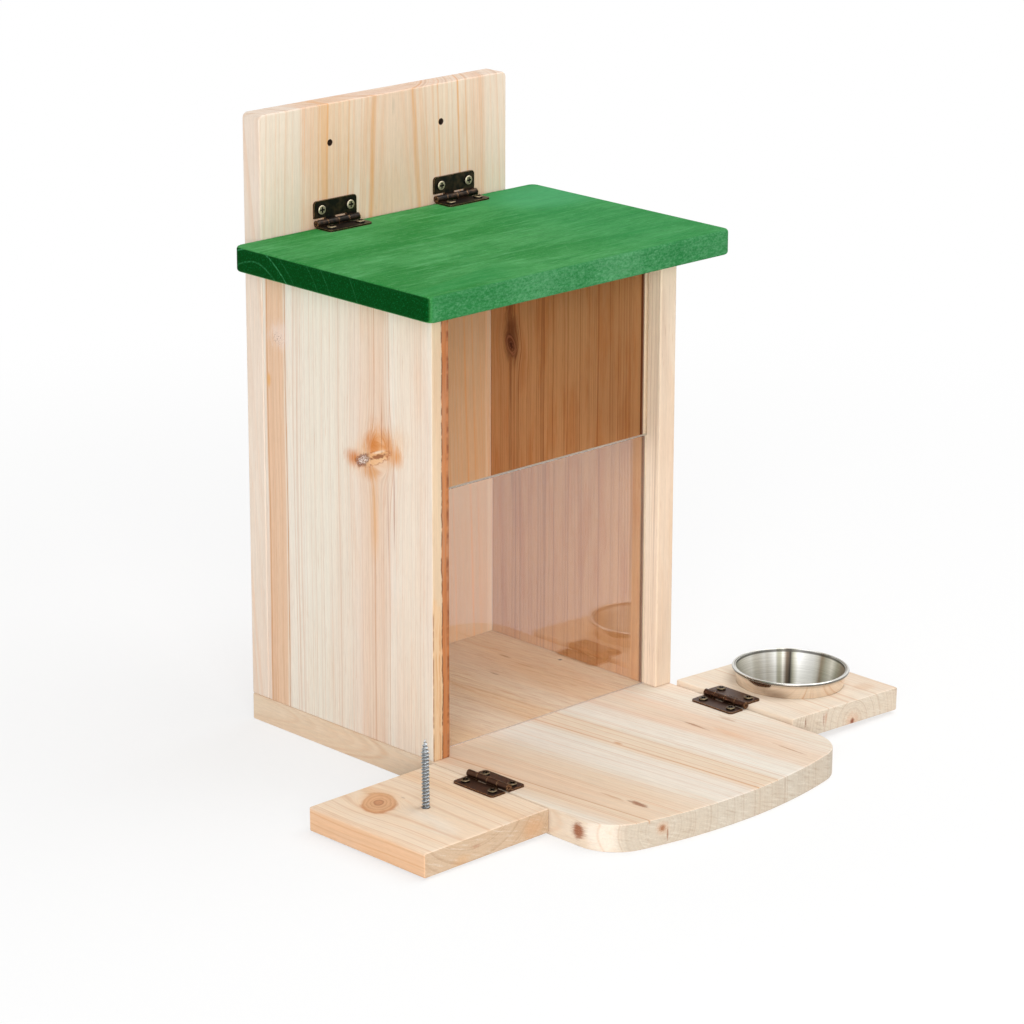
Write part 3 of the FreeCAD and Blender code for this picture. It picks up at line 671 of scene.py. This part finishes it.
bare_wood(
    "floor_board", ALONG_Y, FLOOR_PITH, seed=21.0,
    rings=on_face(FLOOR_PITH, PLATFORM_TOP, [
        (-46.5, 0.4, 0.6), (-36.0, 0.35, 0.3), (-28.5, 0.35, 0.25), (-20.0, 0.35, 0.3),
        (-13.0, 0.35, 0.25), (-8.6, 0.4, 0.35), (-4.0, 0.7, 0.95), (-0.6, 0.45, 0.7),
        (4.4, 0.4, 0.5), (8.2, 0.6, 0.7), (13.5, 0.35, 0.25), (21.5, 0.35, 0.25),
        (28.5, 0.5, 0.45), (34.5, 0.35, 0.3), (41.5, 0.4, 0.4), (48.0, 0.35, 0.3),
        (53.0, 0.5, 0.5), (58.0, 0.35, 0.3), (64.5, 0.4, 0.35)])
    + [(10.5, 0.5, 0.35), (6.2, 0.4, 0.25)],
    slope=0.095, sway=0.5, fine_weight=0.34, end_tone=shade(200, 188, 170),
    end_weight=0.88,
    tones=lambda grain: [
        (grain.first.between(-28.0, -8.0, 5.0) * 0.7, WHITE_WOOD),
        (grain.first.between(11.0, 27.0, 4.0) * 0.7, WHITE_WOOD),
        (grain.first.between(-6.0, 9.0, 1.5) * 0.35, shade(234, 196, 154)),
        (grain.first.between(29.0, 47.0, 4.0) * 0.4, shade(234, 202, 172)),
        (grain.first.between(-72.0, -34.0, 6.0) * 0.5, shade(232, 198, 162)),
        # Painted shade inside the box: the floor is warmer behind the pane, more so deeper in
        # and towards the right rear corner.
        (box_floor(grain) * 0.32, shade(238, 198, 128)),
        (grain.inside((-62, 30, 11), (62, 140, 13), 18.0) * 0.36, shade(228, 180, 110)),
        (grain.inside((20, 30, 11), (90, 150, 13), 18.0) * 0.4, shade(200, 146, 84))],
    marks=lambda grain: [
        (box_floor(grain) * grain.dash.rise(0.48, 0.68) * 0.4, shade(190, 126, 66)),
        (grain.inside((-72, -120, -1), (-70.6, 120, 13), 0.2) * 0.35, shade(226, 206, 178)),
        (grain.first.line(-62.0, 0.6) * grain.place[1].rise(4.0, -4.0)
         * grain.place[2].rise(10.0, 11.5) * (grain.fibre * 0.5 + 0.35), shade(190, 128, 76)),
        (grain.blot((-45.5, -114, 7.5), (2.1, 14, 2.0), 1.2) * 0.92, shade(118, 58, 28)),
        (grain.blot((-45.5, -114, 7.5), (4.4, 14, 4.0), 1.2) * 0.4, shade(206, 150, 108)),
        (grain.blot((-43.0, -110, 4.4), (0.6, 14, 3.6), 0.8) * 0.7, shade(150, 94, 56)),
        (grain.blot((LEFT_FACE, -88, 6.8), (3.0, 3.6, 4.4), 1.0) * 0.96, shade(98, 42, 26)),
        (grain.blot((LEFT_FACE, -88, 6.8), (6.0, 5.4, 5.6), 1.2) * 0.55, shade(184, 120, 84)),
        (grain.blot((LEFT_FACE, -88, 6.8), (3.0, 2.2, 2.6), 0.6) * grain.pores.rise(0.5, 0.6)
         * 0.6, shade(196, 140, 110)),
        (grain.blot((-42.0, -93.0, 12), (1.9, 6.5, 2.0), 2.0) * 0.8, shade(150, 88, 52)),
        (grain.blot((-44.0, -80.0, 12), (1.2, 8.0, 2.0), 1.6) * 0.45, shade(196, 140, 96)),
        (grain.blot((1.2, -38.5, 12), (1.4, 3.2, 1.5), 1.2) * 0.6, shade(206, 142, 92)),
        (grain.blot((40.2, -46.5, 12), (1.0, 8.5, 1.5), 1.6) * 0.7, shade(164, 104, 62)),
        (grain.blot((44.0, -64.0, 12), (3.4, 14.0, 1.5), 1.6) * 0.35, shade(226, 172, 126)),
        (grain.blot((48.6, -94.0, 12), (0.8, 12.0, 1.5), 1.6) * 0.6, shade(178, 122, 76)),
        (grain.blot((56.0, -50.0, 12), (1.6, 6.0, 1.5), 2.4) * 0.45, shade(180, 130, 92)),
        (grain.blot((22.6, 61.0, 12), (0.9, 4.0, 1.5), 1.0) * 0.7, shade(150, 96, 52)),
        (grain.blot((42.0, 75.0, 12), (1.1, 5.5, 1.5), 1.0) * 0.6, shade(154, 98, 54)),
        (grain.blot((56.8, 54.5, 12), (1.3, 1.3, 1.0)) * 0.95, shade(74, 44, 22))])


# Wings

LEFT_WING_PITH = (-112.7, 33.0)
WING_KNOT = (-116.8, -19.0)
WING_KNOT_RADII = (7.2, 11.6)


def wing_knot(grain):
    """The left wing's knot, cut at a slant, so it is long from corner to corner."""
    x, y, z = grain.place
    off_x = x - WING_KNOT[0]
    off_y = y - WING_KNOT[1]
    wide = (off_x - off_y) * (math.sqrt(0.5) / WING_KNOT_RADII[0])
    long = (off_x + off_y) * (math.sqrt(0.5) / WING_KNOT_RADII[1])
    near = (wide * wide + long * long).root() + (grain.fleck - 0.5) * 0.4
    near = near + (grain.stain - 0.5) * 0.7
    top = z.rise(6.0, 10.0)
    body = near.rise(1.08, 0.8) * top
    ring = (near * 4.3).fraction().rise(0.3, 0.95)
    return [(near.rise(1.5, 0.9) * top * 0.35, shade(234, 186, 138)),
            (grain.blot((-110.5, -6.0, 12), (4.2, 9.0, 3), 1.2) * 0.5, shade(234, 188, 144)),
            (body * 0.72, shade(220, 162, 112)),
            (body * ring * 0.35, shade(186, 120, 76)),
            (near.line(0.92, 0.2) * long.rise(0.5, -0.6) * top * 0.6, shade(198, 128, 80)),
            (near.rise(0.34, 0.12) * top * 0.55, shade(190, 122, 82)),
            (near.line(0.22, 0.09) * top * 0.35, shade(150, 86, 56))]


bare_wood(
    "left_wing_board", ALONG_Y, LEFT_WING_PITH, seed=34.0,
    rings=[
        (22.4, 0.5, 0.4), (25.5, 0.35, 0.4), (28.6, 0.35, 0.4), (31.5, 0.35, 0.45),
        (35.0, 0.4, 0.5), (38.2, 0.4, 0.5), (41.0, 0.4, 0.45)],
    cream=shade(246, 229, 208), pink=shade(244, 219, 192), sway=1.0, fine_weight=0.2,
    dash_weight=0.16, end_tone=shade(196, 168, 138), end_weight=0.85,
    tones=lambda grain: [
        (grain.first.between(-93.0, -84.0, 2.5) * 0.4, shade(234, 190, 146)),
        (grain.inside((-142, -73, -1), (-138, -1, 11), 1.5) * 0.7, shade(228, 176, 130)),
        (grain.inside((-94, -73, -1), (-66, -71, 13), 5.0) * 0.5, shade(186, 140, 102))],
    marks=lambda grain: [
        *wing_knot(grain),
        (grain.blot((-106.2, -22.0, 12), (0.8, 1.8, 3), 1.0) * 0.4, shade(160, 132, 110)),
        (grain.blot((-120.0, -73, 3.0), (7.0, 4, 3.6), 1.2) * 0.4, shade(214, 166, 116)),
        (grain.blot((-112.4, -73, 7.0), (3.4, 4, 1.2), 1.4) * 0.4, shade(170, 112, 84)),
        (grain.blot((-81.0, -73, 6.0), (8.0, 4, 7.0), 1.2) * 0.45, shade(206, 152, 104))],
    knots=[{"run": -18.5, "face": 0, "across": -116.8, "radius": 7.0, "stretch": 1.3}])

RIGHT_WING_PITH = (110.3, 3.5)
bare_wood(
    "right_wing_board", ALONG_Y, RIGHT_WING_PITH, seed=47.0,
    rings=[
        (6.5, 0.3, 0.25), (9.8, 0.35, 0.35), (15.6, 0.4, 0.4), (18.2, 0.45, 0.55),
        (24.0, 0.35, 0.3), (30.0, 0.4, 0.4)],
    cream=shade(238, 225, 207), pink=shade(236, 214, 192), fine_weight=0.18,
    dash_weight=0.14, end_tone=shade(208, 194, 174), end_weight=0.75,
    tones=lambda grain: [
        (grain.place[2].rise(10.0, 12.0) * 0.45, shade(238, 222, 202))],
    marks=lambda grain: [
        (grain.blot((110.3, -74, 3.5), (6.0, 6, 5.5), 2.0) * 0.5, shade(212, 164, 130)),
        (grain.blot((110.3, -74, 3.5), (1.7, 8, 2.0), 1.2) * 0.92, shade(132, 66, 38)),
        (grain.blot((80.0, -73.5, 10.5), (0.6, 2.0, 3.0), 1.2) * 0.7, shade(140, 76, 44)),
        (grain.blot((91.6, -73.5, 9.0), (0.7, 2.0, 4.2), 1.0) * 0.6, shade(150, 92, 72)),
        (grain.blot((93.0, -73.5, 9.5), (1.2, 2.0, 4.0), 1.4) * 0.45, shade(196, 140, 110)),
        (grain.blot((129.0, -64.0, 12.4), (8.0, 6.0, 3.0), 1.2) * 0.32, shade(216, 168, 126))])


# Roof board

ROOF_PITH = (89.0, 190.0)


def stained_wood():
    made, tree, bsdf = material("roof_board")
    grain = Grain(tree, ALONG_X, ROOF_PITH, seed=60.0, spacing=1.5, sway=2.0)
    x, y, z = grain.place
    deep = shade(46, 130, 58)
    fresh = shade(74, 152, 84)
    faded = shade(124, 186, 136)
    patch_place = vector(tree, x * 0.02, y * 0.045, 5.0)
    patch = noise(tree, patch_place, detail=4.0, roughness=0.6)
    wipe_place = vector(tree, x * 0.03 + y * 0.05, y * 0.3, 2.0)
    wipe = noise(tree, wipe_place, detail=4.0, roughness=0.6)
    colour = mix(tree, patch.rise(0.36, 0.64), deep, fresh)
    colour = mix(tree, wipe.rise(0.5, 0.72) * 0.5, colour, shade(98, 174, 110))
    colour = mix(tree, wipe.rise(0.5, 0.3) * 0.5, colour, shade(38, 126, 60))
    colour = mix(tree, grain.fleck.rise(0.54, 0.74) * 0.45, colour, faded)
    colour = mix(tree, grain.pores.rise(0.52, 0.74) * 0.25, colour, faded)
    right = x.rise(0.0, 60.0)
    colour = mix(tree, right * 0.35, colour, shade(54, 146, 84))
    colour = mix(tree, grain.dash.rise(0.56, 0.72) * 0.55, colour, shade(28, 112, 48))
    colour = mix(tree, grain.fleck.rise(0.46, 0.3) * 0.4, colour, shade(30, 116, 52))
    colour = mix(tree, grain.fine * 0.3, colour, shade(30, 116, 50))
    far_corner = grain.blot((72.0, 82.0, 217.5), (38.0, 30.0, 6.0), 0.8)
    colour = mix(tree, far_corner * 0.45, colour, shade(84, 172, 120))
    lap = y - x * 0.24
    overlap = lap.rise(12.6, 11.6) * x.rise(-20.0, -46.0) * y.rise(-16.0, -12.0)
    colour = mix(tree, overlap * 0.4, colour, shade(52, 142, 76))
    front = y.rise(-17.2, -18.4)
    speck_place = vector(tree, x * 0.7, y, z * 1.1)
    speck = noise(tree, speck_place, detail=6.0, roughness=0.75) * 0.6 + patch * 0.4
    edge_tone = mix(tree, speck.rise(0.4, 0.68), shade(34, 110, 56), shade(92, 152, 108))
    colour = mix(tree, front * 0.85, colour, edge_tone)
    end_tone = mix(tree, grain.pores.rise(0.5, 0.8), shade(0, 62, 14), shade(10, 104, 52))
    arcs = grain.strong([(22.1, 0.5, 0.55), (27.1, 0.5, 0.95), (31.0, 0.4, 0.3),
                         (43.0, 0.4, 0.3), (50.3, 0.5, 0.3), (66.0, 0.5, 0.3)])
    arcs = arcs * (grain.pores.rise(0.35, 0.65) * 0.7 + 0.3)
    end_tone = mix(tree, arcs, end_tone, shade(64, 150, 96))
    colour = mix(tree, grain.end, colour, end_tone)
    wear_and_highlight = edge_wear(tree, 0.9) * grain.pores.rise(0.42, 0.6)
    colour = mix(tree, wear_and_highlight * 0.4, colour, shade(138, 192, 146))
    colour = scaled(tree, colour, grain.fibre * 0.5 + grain.fleck * 0.4 + 0.555)
    wood_surface(tree, bsdf, grain, colour, relief=0.08, shine=0.03)
    dress("roof_board", made)


stained_wood()


# Window pane

def acrylic():
    made, tree, bsdf = material("clear_acrylic")
    sawn = own_normal(tree)[1].absolute().rise(0.75, 0.45)
    clear = (0.97, 0.96, 0.96, 1.0)
    frosted = (0.95, 0.85, 0.78, 1.0)
    feed(tree, bsdf.inputs["Base Color"], mix(tree, sawn, clear, frosted))
    feed(tree, bsdf.inputs["Transmission Weight"], (sawn * 0.9).rest())
    bsdf.inputs["IOR"].default_value = 1.82
    feed(tree, bsdf.inputs["Roughness"], sawn * 0.35)
    through = tree.nodes.new("ShaderNodeBsdfTransparent")
    through.inputs["Color"].default_value = (0.92, 0.92, 0.92, 1.0)
    path = tree.nodes.new("ShaderNodeLightPath")
    show_blend(tree, Signal(tree, path.outputs["Is Shadow Ray"]), bsdf, through)
    dress("window_pane", made)


acrylic()


# Metals

def crevice(tree, distance):
    """1 in the open, 0 deep in a recess or a gap; where it is low, shade is painted."""
    node = tree.nodes.new("ShaderNodeAmbientOcclusion")
    node.samples = 8
    node.inputs["Distance"].default_value = distance * MM
    return Signal(tree, node.outputs["AO"])


def bronze():
    made, tree, bsdf = material("aged_bronze")
    x, y, z = place_mm(tree)
    place = vector(tree, x, y, z)
    cloud = noise(tree, place, scale=0.35, detail=4.0)
    speck = noise(tree, place, scale=2.2, detail=3.0)
    colour = mix(tree, cloud.rise(0.38, 0.7), shade(34, 31, 28), shade(72, 55, 42))
    colour = mix(tree, z.rise(100.0, 60.0) * 0.45, colour, shade(96, 58, 38))
    wear = edge_wear(tree, 0.4) * speck.rise(0.3, 0.6)
    colour = mix(tree, wear * 0.85, colour, shade(206, 160, 118))
    feed(tree, bsdf.inputs["Base Color"], colour)
    bsdf.inputs["Metallic"].default_value = 0.9
    feed(tree, bsdf.inputs["Roughness"], speck * 0.25 + 0.26)
    bump(tree, bsdf, speck, 0.03)
    for name in nodes:
        if "leaf" in name or "pin" in name:
            dress(name, made)


bronze()


ROOF_HINGE_SHIFT = 4.5
ROOF_HINGE_SIDE = 34.5
LEAF_SCREW_SIDE = 8.1
UPPER_SCREW_Z = 225.0


def upper_cross(tree):
    """1 on the arms of a cross of painted shade, a little larger than the recess, in each screw
    of the roof hinges' upper leaves.
    """
    x, _, z = place_mm(tree)
    from_hinge = (x - ROOF_HINGE_SHIFT).absolute() - ROOF_HINGE_SIDE
    along = (from_hinge.absolute() - LEAF_SCREW_SIDE).absolute()
    up = (z - UPPER_SCREW_Z).absolute()
    arms = along.at_most(up).rise(0.42, 0.24) * along.at_least(up).rise(1.4, 1.15)
    return arms * own_normal(tree)[1].rise(-0.7, -0.9)


SCRATCH_DARKER = 26


def plated(name, users, dark, tone, metal, rough=0.34, depth=0.9, wear_and_highlight=None, cross=None):
    """A plated screw; depth is how deep a recess has to be, in mm, to take painted shade.

    A pale rim tone, a painted highlight, shows where a head's flat face turns down to its
    edge; cross gives where a dark cross of painted shade is put.
    """
    made, tree, bsdf = material(name)
    place = vector(tree, *place_mm(tree))
    scratch = noise(tree, place, scale=3.0, detail=3.0)
    scratched = shade(*[value - SCRATCH_DARKER for value in tone])
    colour = mix(tree, scratch.rise(0.3, 0.7), scratched, shade(*tone))
    if wear_and_highlight:
        normal = own_normal(tree)
        flat = normal[1].absolute().at_least(normal[2].absolute())
        # Painted highlight: a paler tone on the rim of the head.
        colour = mix(tree, flat.rise(0.98, 0.8), colour, shade(*wear_and_highlight))
    # Painted shade: recesses and gaps are darkened.
    colour = mix(tree, crevice(tree, depth).rise(0.96, 0.74), colour, shade(*dark))
    # Painted shade: a dark cross over the recess.
    if cross:
        colour = mix(tree, cross(tree) * 0.9, colour, shade(*dark))
    feed(tree, bsdf.inputs["Base Color"], colour)
    bsdf.inputs["Metallic"].default_value = metal
    feed(tree, bsdf.inputs["Roughness"], scratch * 0.18 + rough)
    bump(tree, bsdf, scratch, 0.008)
    for user in users:
        dress(user, made)
    return made


plated("roof_upper_screws", ["roof_hinge_upper_screws"], dark=(10, 8, 6),
       tone=(176, 164, 138), metal=0.65, wear_and_highlight=(226, 214, 186), cross=upper_cross)
plated("roof_lower_screws", ["roof_hinge_lower_screws"], dark=(10, 8, 6),
       tone=(96, 84, 66), metal=0.75, wear_and_highlight=(150, 136, 108))
plated("wing_hinge_screws",
       [f"{side}_wing_hinge_{part}_screws" for side in ("left", "right")
        for part in ("inner", "outer")],
       dark=(12, 9, 7), tone=(92, 78, 60), metal=0.85, wear_and_highlight=(126, 110, 84))
zinc = plated("zinc_screws", ["back_to_side_screws", "floor_to_box_screws"],
              dark=(44, 50, 58), tone=(196, 200, 202), metal=1.0, rough=0.24, depth=1.3)


# Corn screw with its real thread

CORN_FOOT = (-106.47, -36.1, 1.137)
CORN_LEAN = math.radians(0.6)
SCREW_TALL = 40.0
SCREW_POINT = 5.5
SCREW_TIP = 0.1
SCREW_CORE = 1.2
SCREW_THREAD = 1.75
SCREW_TURN = 1.5
SCREW_CREST = 1.0
SCREW_FADE = 2.0
SCREW_HEAD = 3.5
SCREW_HEAD_TALL = 2.5
SCREW_SIDES = 36
SCREW_STEP = 0.1
RECESS_LONG = 2.1
RECESS_WIDE = 0.45
RECESS_DEEP = 1.0


def screw_radius(rise, turn):
    """The radius at a height over the head's face and at a share of a turn round."""
    if rise < SCREW_HEAD_TALL:
        return SCREW_HEAD + (SCREW_CORE - SCREW_HEAD) * rise / SCREW_HEAD_TALL
    left = SCREW_TALL - rise
    core = SCREW_CORE * min(1.0, SCREW_TIP + (1.0 - SCREW_TIP) * left / SCREW_POINT)
    phase = (rise / SCREW_TURN - turn) % 1.0
    crest = max(0.0, 1.0 - abs(phase - 0.5) * 2 * SCREW_TURN / SCREW_CREST)
    fade = min(1.0, left / SCREW_FADE, rise - SCREW_HEAD_TALL)
    return core + (SCREW_THREAD - SCREW_CORE) * crest * fade


def on_screw(across, deep, rise):
    """A point of the screw's own frame as metres of the row frame."""
    x = CORN_FOOT[0] + across * math.cos(CORN_LEAN) - rise * math.sin(CORN_LEAN)
    z = CORN_FOOT[2] + across * math.sin(CORN_LEAN) + rise * math.cos(CORN_LEAN)
    return Vector((x, CORN_FOOT[1] + deep, z)) * MM


def closed_strip(form, low, high):
    """Joins two loops of as many points with a ring of faces."""
    for index in range(len(low)):
        beside = (index + 1) % len(low)
        form.faces.new((low[index], low[beside], high[beside], high[index]))


def loop_edges(form, loop):
    return [form.edges.get((loop[index - 1], loop[index])) for index in range(len(loop))]


def corn_screw():
    form = bmesh.new()
    rows = []
    for level in range(round(SCREW_TALL / SCREW_STEP) + 1):
        rise = level * SCREW_STEP
        row = []
        for side in range(SCREW_SIDES):
            turn = side / SCREW_SIDES
            radius = screw_radius(rise, turn)
            angle = turn * 2 * math.pi
            row.append(form.verts.new(on_screw(radius * math.cos(angle),
                                               radius * math.sin(angle), rise)))
        rows.append(row)
    for low, high in zip(rows, rows[1:]):
        closed_strip(form, low, high)
    form.faces.new(rows[-1])
    arm = [(RECESS_LONG, -RECESS_WIDE), (RECESS_LONG, RECESS_WIDE),
           (RECESS_WIDE, RECESS_WIDE)]
    cross = []
    for quarter in range(4):
        for x, y in arm:
            for _ in range(quarter):
                x, y = -y, x
            cross.append((x, y))
    mouth = [form.verts.new(on_screw(x, y, 0.0)) for x, y in cross]
    floor_loop = [form.verts.new(on_screw(x, y, RECESS_DEEP)) for x, y in cross]
    closed_strip(form, mouth, floor_loop)
    form.faces.new(floor_loop)
    rim = loop_edges(form, rows[0]) + loop_edges(form, mouth)
    bmesh.ops.triangle_fill(form, edges=rim, use_beauty=True)
    bmesh.ops.recalc_face_normals(form, faces=form.faces)
    thread_start = on_screw(0.0, 0.0, SCREW_HEAD_TALL).z
    for face in form.faces:
        face.smooth = face.calc_center_median().z > thread_start
    mesh = bpy.data.meshes.new("corn_screw_thread")
    form.to_mesh(mesh)
    form.free()
    mesh.materials.append(zinc)
    piece = placed("corn_screw_thread", mesh)
    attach(piece, "left_wing")
    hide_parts("corn_screw")


corn_screw()


# Bowl

WING_PIN_X = 70.2
WING_PIN_Z = 13.9
WING_DROOP = math.radians(1.9)
BOWL_REACH = 38.5
BOWL_Y = -38.5
BOWL_FOOT = -9.8
BOWL_WALL = 24.9
RIM_LOW = 15.2
RIM_TOP = 16.0


def bowl_place(tree):
    """Distance from the bowl's axis, height over its foot, turn round the axis and how
    far the surface looks outward. The bowl droops with its wing, about the wing's pin.
    """
    x, y, z = place_mm(tree)
    from_pin = x - WING_PIN_X
    over_pin = z - WING_PIN_Z
    out = from_pin * math.cos(WING_DROOP) - over_pin * math.sin(WING_DROOP)
    rise = from_pin * math.sin(WING_DROOP) + over_pin * math.cos(WING_DROOP)
    off_x = out - BOWL_REACH
    off_y = y - BOWL_Y
    far = (off_x * off_x + off_y * off_y).root()
    turn = off_y.math("ARCTAN2", off_x) / (2 * math.pi) + 0.5
    normal = own_normal(tree)
    outward = (normal[0] * off_x + normal[1] * off_y) / far.at_least(1.0)
    return far, rise - BOWL_FOOT, turn, outward


def ramp(tree, amount, stops):
    """A colour for each place along a signal that runs from 0 to 1."""
    node = tree.nodes.new("ShaderNodeValToRGB")
    bar = node.color_ramp.elements
    while len(bar) < len(stops):
        bar.new(0.5)
    for element, (position, tone) in zip(bar, stops):
        element.position = position
        element.color = tone
    feed(tree, node.inputs[0], amount)
    return Signal(tree, node.outputs["Color"])


def steel():
    made, tree, bsdf = material("stainless_steel")
    far, height, turn, outward = bowl_place(tree)
    x, y, z = place_mm(tree)
    brushed = noise(tree, vector(tree, far * 3.0, height * 6.0, turn * 9.0), detail=4.0)
    smear = noise(tree, vector(tree, x * 0.12, y * 0.12, z * 0.12), detail=3.0)
    bright = shade(242, 242, 239)
    plain = shade(222, 220, 212)
    green = shade(172, 170, 154)
    umber = shade(158, 142, 122)
    shadow = shade(112, 98, 84)
    dark = shade(56, 52, 48)
    # Painted reflections: bands of light and dark round the inner wall.
    painted_reflection_bands = ramp(tree, turn, [
        (0.0, bright), (0.3, bright), (0.37, umber), (0.41, umber), (0.45, green),
        (0.475, plain), (0.505, green), (0.518, umber), (0.53, plain), (0.545, bright),
        (0.592, bright), (0.607, green), (0.617, dark), (0.63, shadow), (0.64, plain),
        (0.646, green), (0.656, green), (0.664, bright), (0.69, plain), (0.7, bright),
        (0.72, plain), (0.735, plain), (0.75, bright), (0.79, plain), (0.85, green),
        (0.89, plain), (0.93, bright), (1.0, bright)])
    wall = far.rise(BOWL_WALL + 0.3, BOWL_WALL - 0.3) * height.rise(1.2, 2.2)
    wall = wall * outward.rise(0.3, -0.3)
    colour = mix(tree, wall, plain, painted_reflection_bands)
    # Painted reflection of the wood on the outside of the bowl, pale and warm.
    outside = outward.rise(0.5, 0.8) * height.rise(RIM_TOP, RIM_LOW)
    colour = mix(tree, outside * 0.8, colour, shade(250, 236, 222))
    # Painted reflection of the hinge on the side of the bowl towards it.
    hinge_reflection = turn.between(0.015, 0.11, 0.03) * height.between(6.5, 13.5, 2.6)
    hinge_reflection = hinge_reflection * smear.rise(0.2, 0.6)
    colour = mix(tree, outside * hinge_reflection * 0.5, colour, shade(112, 84, 68))
    # Painted shade just under the rim.
    colour = mix(tree, outside * height.rise(14.4, 15.8) * 0.55, colour, shade(120, 98, 84))
    # Painted reflections: the rim bead is darker on its outer and inner sides.
    bead = height.rise(RIM_TOP - 0.2, RIM_TOP + 0.2)
    colour = mix(tree, bead * outward.rise(0.6, 0.95) * 0.8, colour, shade(96, 90, 84))
    colour = mix(tree, bead * outward.rise(-0.4, -0.8) * 0.8, colour, shade(70, 67, 62))
    colour = mix(tree, brushed.rise(0.35, 0.75) * (wall * 0.16 + 0.12), colour, dark)
    feed(tree, bsdf.inputs["Base Color"], colour)
    bsdf.inputs["Metallic"].default_value = 1.0
    bsdf.inputs["Anisotropic"].default_value = 0.5
    feed(tree, bsdf.inputs["Roughness"], wall * 0.28 + brushed * 0.08 + smear * 0.08 + 0.04)
    tangent = tree.nodes.new("ShaderNodeTangent")
    tangent.direction_type = "RADIAL"
    tangent.axis = "Z"
    tree.links.new(tangent.outputs["Tangent"], bsdf.inputs["Tangent"])
    bump(tree, bsdf, brushed, 0.004)
    dress("steel_bowl", made)


steel()


# Studio

SEEN_BY = ("Is Camera Ray", "Is Glossy Ray", "Is Transmission Ray")
FLOOR_GLOW = 0.64
FLOOR_NEAR = 0.3
FLOOR_FAR = 0.75
FLOOR_SPAN = 4.0
WORLD_LIGHT = 0.46


def seen(tree):
    """1 for the rays that see the studio, 0 for the ones that only light it."""
    path = tree.nodes.new("ShaderNodeLightPath")
    total = Signal(tree, path.outputs[SEEN_BY[0]])
    for name in SEEN_BY[1:]:
        total = total.at_least(Signal(tree, path.outputs[name]))
    return total


def floor():
    """A white floor: near the box it takes shadows, further out it only glows."""
    mesh = bpy.data.meshes.new("studio_floor")
    half = FLOOR_SPAN / 2
    mesh.from_pydata([(-half, -half, 0), (half, -half, 0), (half, half, 0),
                      (-half, half, 0)], [], [(0, 1, 2, 3)])
    plane = placed("studio_floor", mesh)
    made, tree, bsdf = material("studio_floor")
    bsdf.inputs["Base Color"].default_value = (0.97, 0.97, 0.97, 1.0)
    bsdf.inputs["Roughness"].default_value = 0.9
    bsdf.inputs["Specular IOR Level"].default_value = 0.0
    glow = tree.nodes.new("ShaderNodeEmission")
    glow.inputs["Color"].default_value = (1.0, 1.0, 1.0, 1.0)
    glow.inputs["Strength"].default_value = 1.0
    x, y = place_mm(tree)[:2]
    reach = (x * x + y * y).root() * MM
    glowing = reach.rise(FLOOR_NEAR, FLOOR_FAR) * (1.0 - FLOOR_GLOW) + FLOOR_GLOW
    show_blend(tree, seen(tree) * glowing, bsdf, glow)
    mesh.materials.append(made)


floor()


def world():
    made = bpy.data.worlds.new("studio_world")
    bpy.context.scene.world = made
    made.use_nodes = True
    tree = made.node_tree
    back = tree.nodes["Background"]
    back.inputs["Color"].default_value = (1.0, 1.0, 1.0, 1.0)
    feed(tree, back.inputs["Strength"], seen(tree) * (1.0 - WORLD_LIGHT) + WORLD_LIGHT)


world()


def lamp(name, place, aim, size, power):
    light = bpy.data.lights.new(name, "AREA")
    light.shape = "RECTANGLE"
    light.size, light.size_y = size
    light.energy = power
    thing = placed(name, light)
    thing.location = place
    direction = Vector(aim) - Vector(place)
    thing.rotation_mode = "QUATERNION"
    thing.rotation_quaternion = direction.to_track_quat("-Z", "Y")


BOX_MIDDLE = (0.0, 0.0, 0.1)
lamp("overhead", (0.7, -0.25, 1.7), BOX_MIDDLE, size=(1.5, 1.5), power=17.0)
lamp("front", (-1.35, -1.55, 0.68), BOX_MIDDLE, size=(1.2, 0.9), power=27.0)


# Camera

CAMERA_PLACE = (-1.0988, -1.1252, 0.5997)
CAMERA_YAW = 43.683
CAMERA_PITCH = 17.437
CAMERA_ROLL = 0.122
CAMERA_LENS = 137.27
CAMERA_SENSOR = 36.0


def camera():
    data = bpy.data.cameras.new("camera")
    data.lens = CAMERA_LENS
    data.sensor_width = CAMERA_SENSOR
    data.clip_start = 0.05
    data.clip_end = 20.0
    thing = placed("camera", data)
    yaw = math.radians(CAMERA_YAW)
    pitch = math.radians(CAMERA_PITCH)
    roll = math.radians(CAMERA_ROLL)
    ahead = Vector((math.sin(yaw) * math.cos(pitch), math.cos(yaw) * math.cos(pitch),
                    -math.sin(pitch)))
    level = Vector((math.cos(yaw), -math.sin(yaw), 0.0))
    rising = level.cross(ahead)
    right = level * math.cos(roll) + rising * math.sin(roll)
    up = rising * math.cos(roll) - level * math.sin(roll)
    turn = Matrix((right, up, -ahead)).transposed()
    thing.matrix_world = Matrix.Translation(CAMERA_PLACE) @ turn.to_4x4()
    bpy.context.scene.camera = thing


camera()
bpy.context.scene.view_settings.view_transform = "Standard"
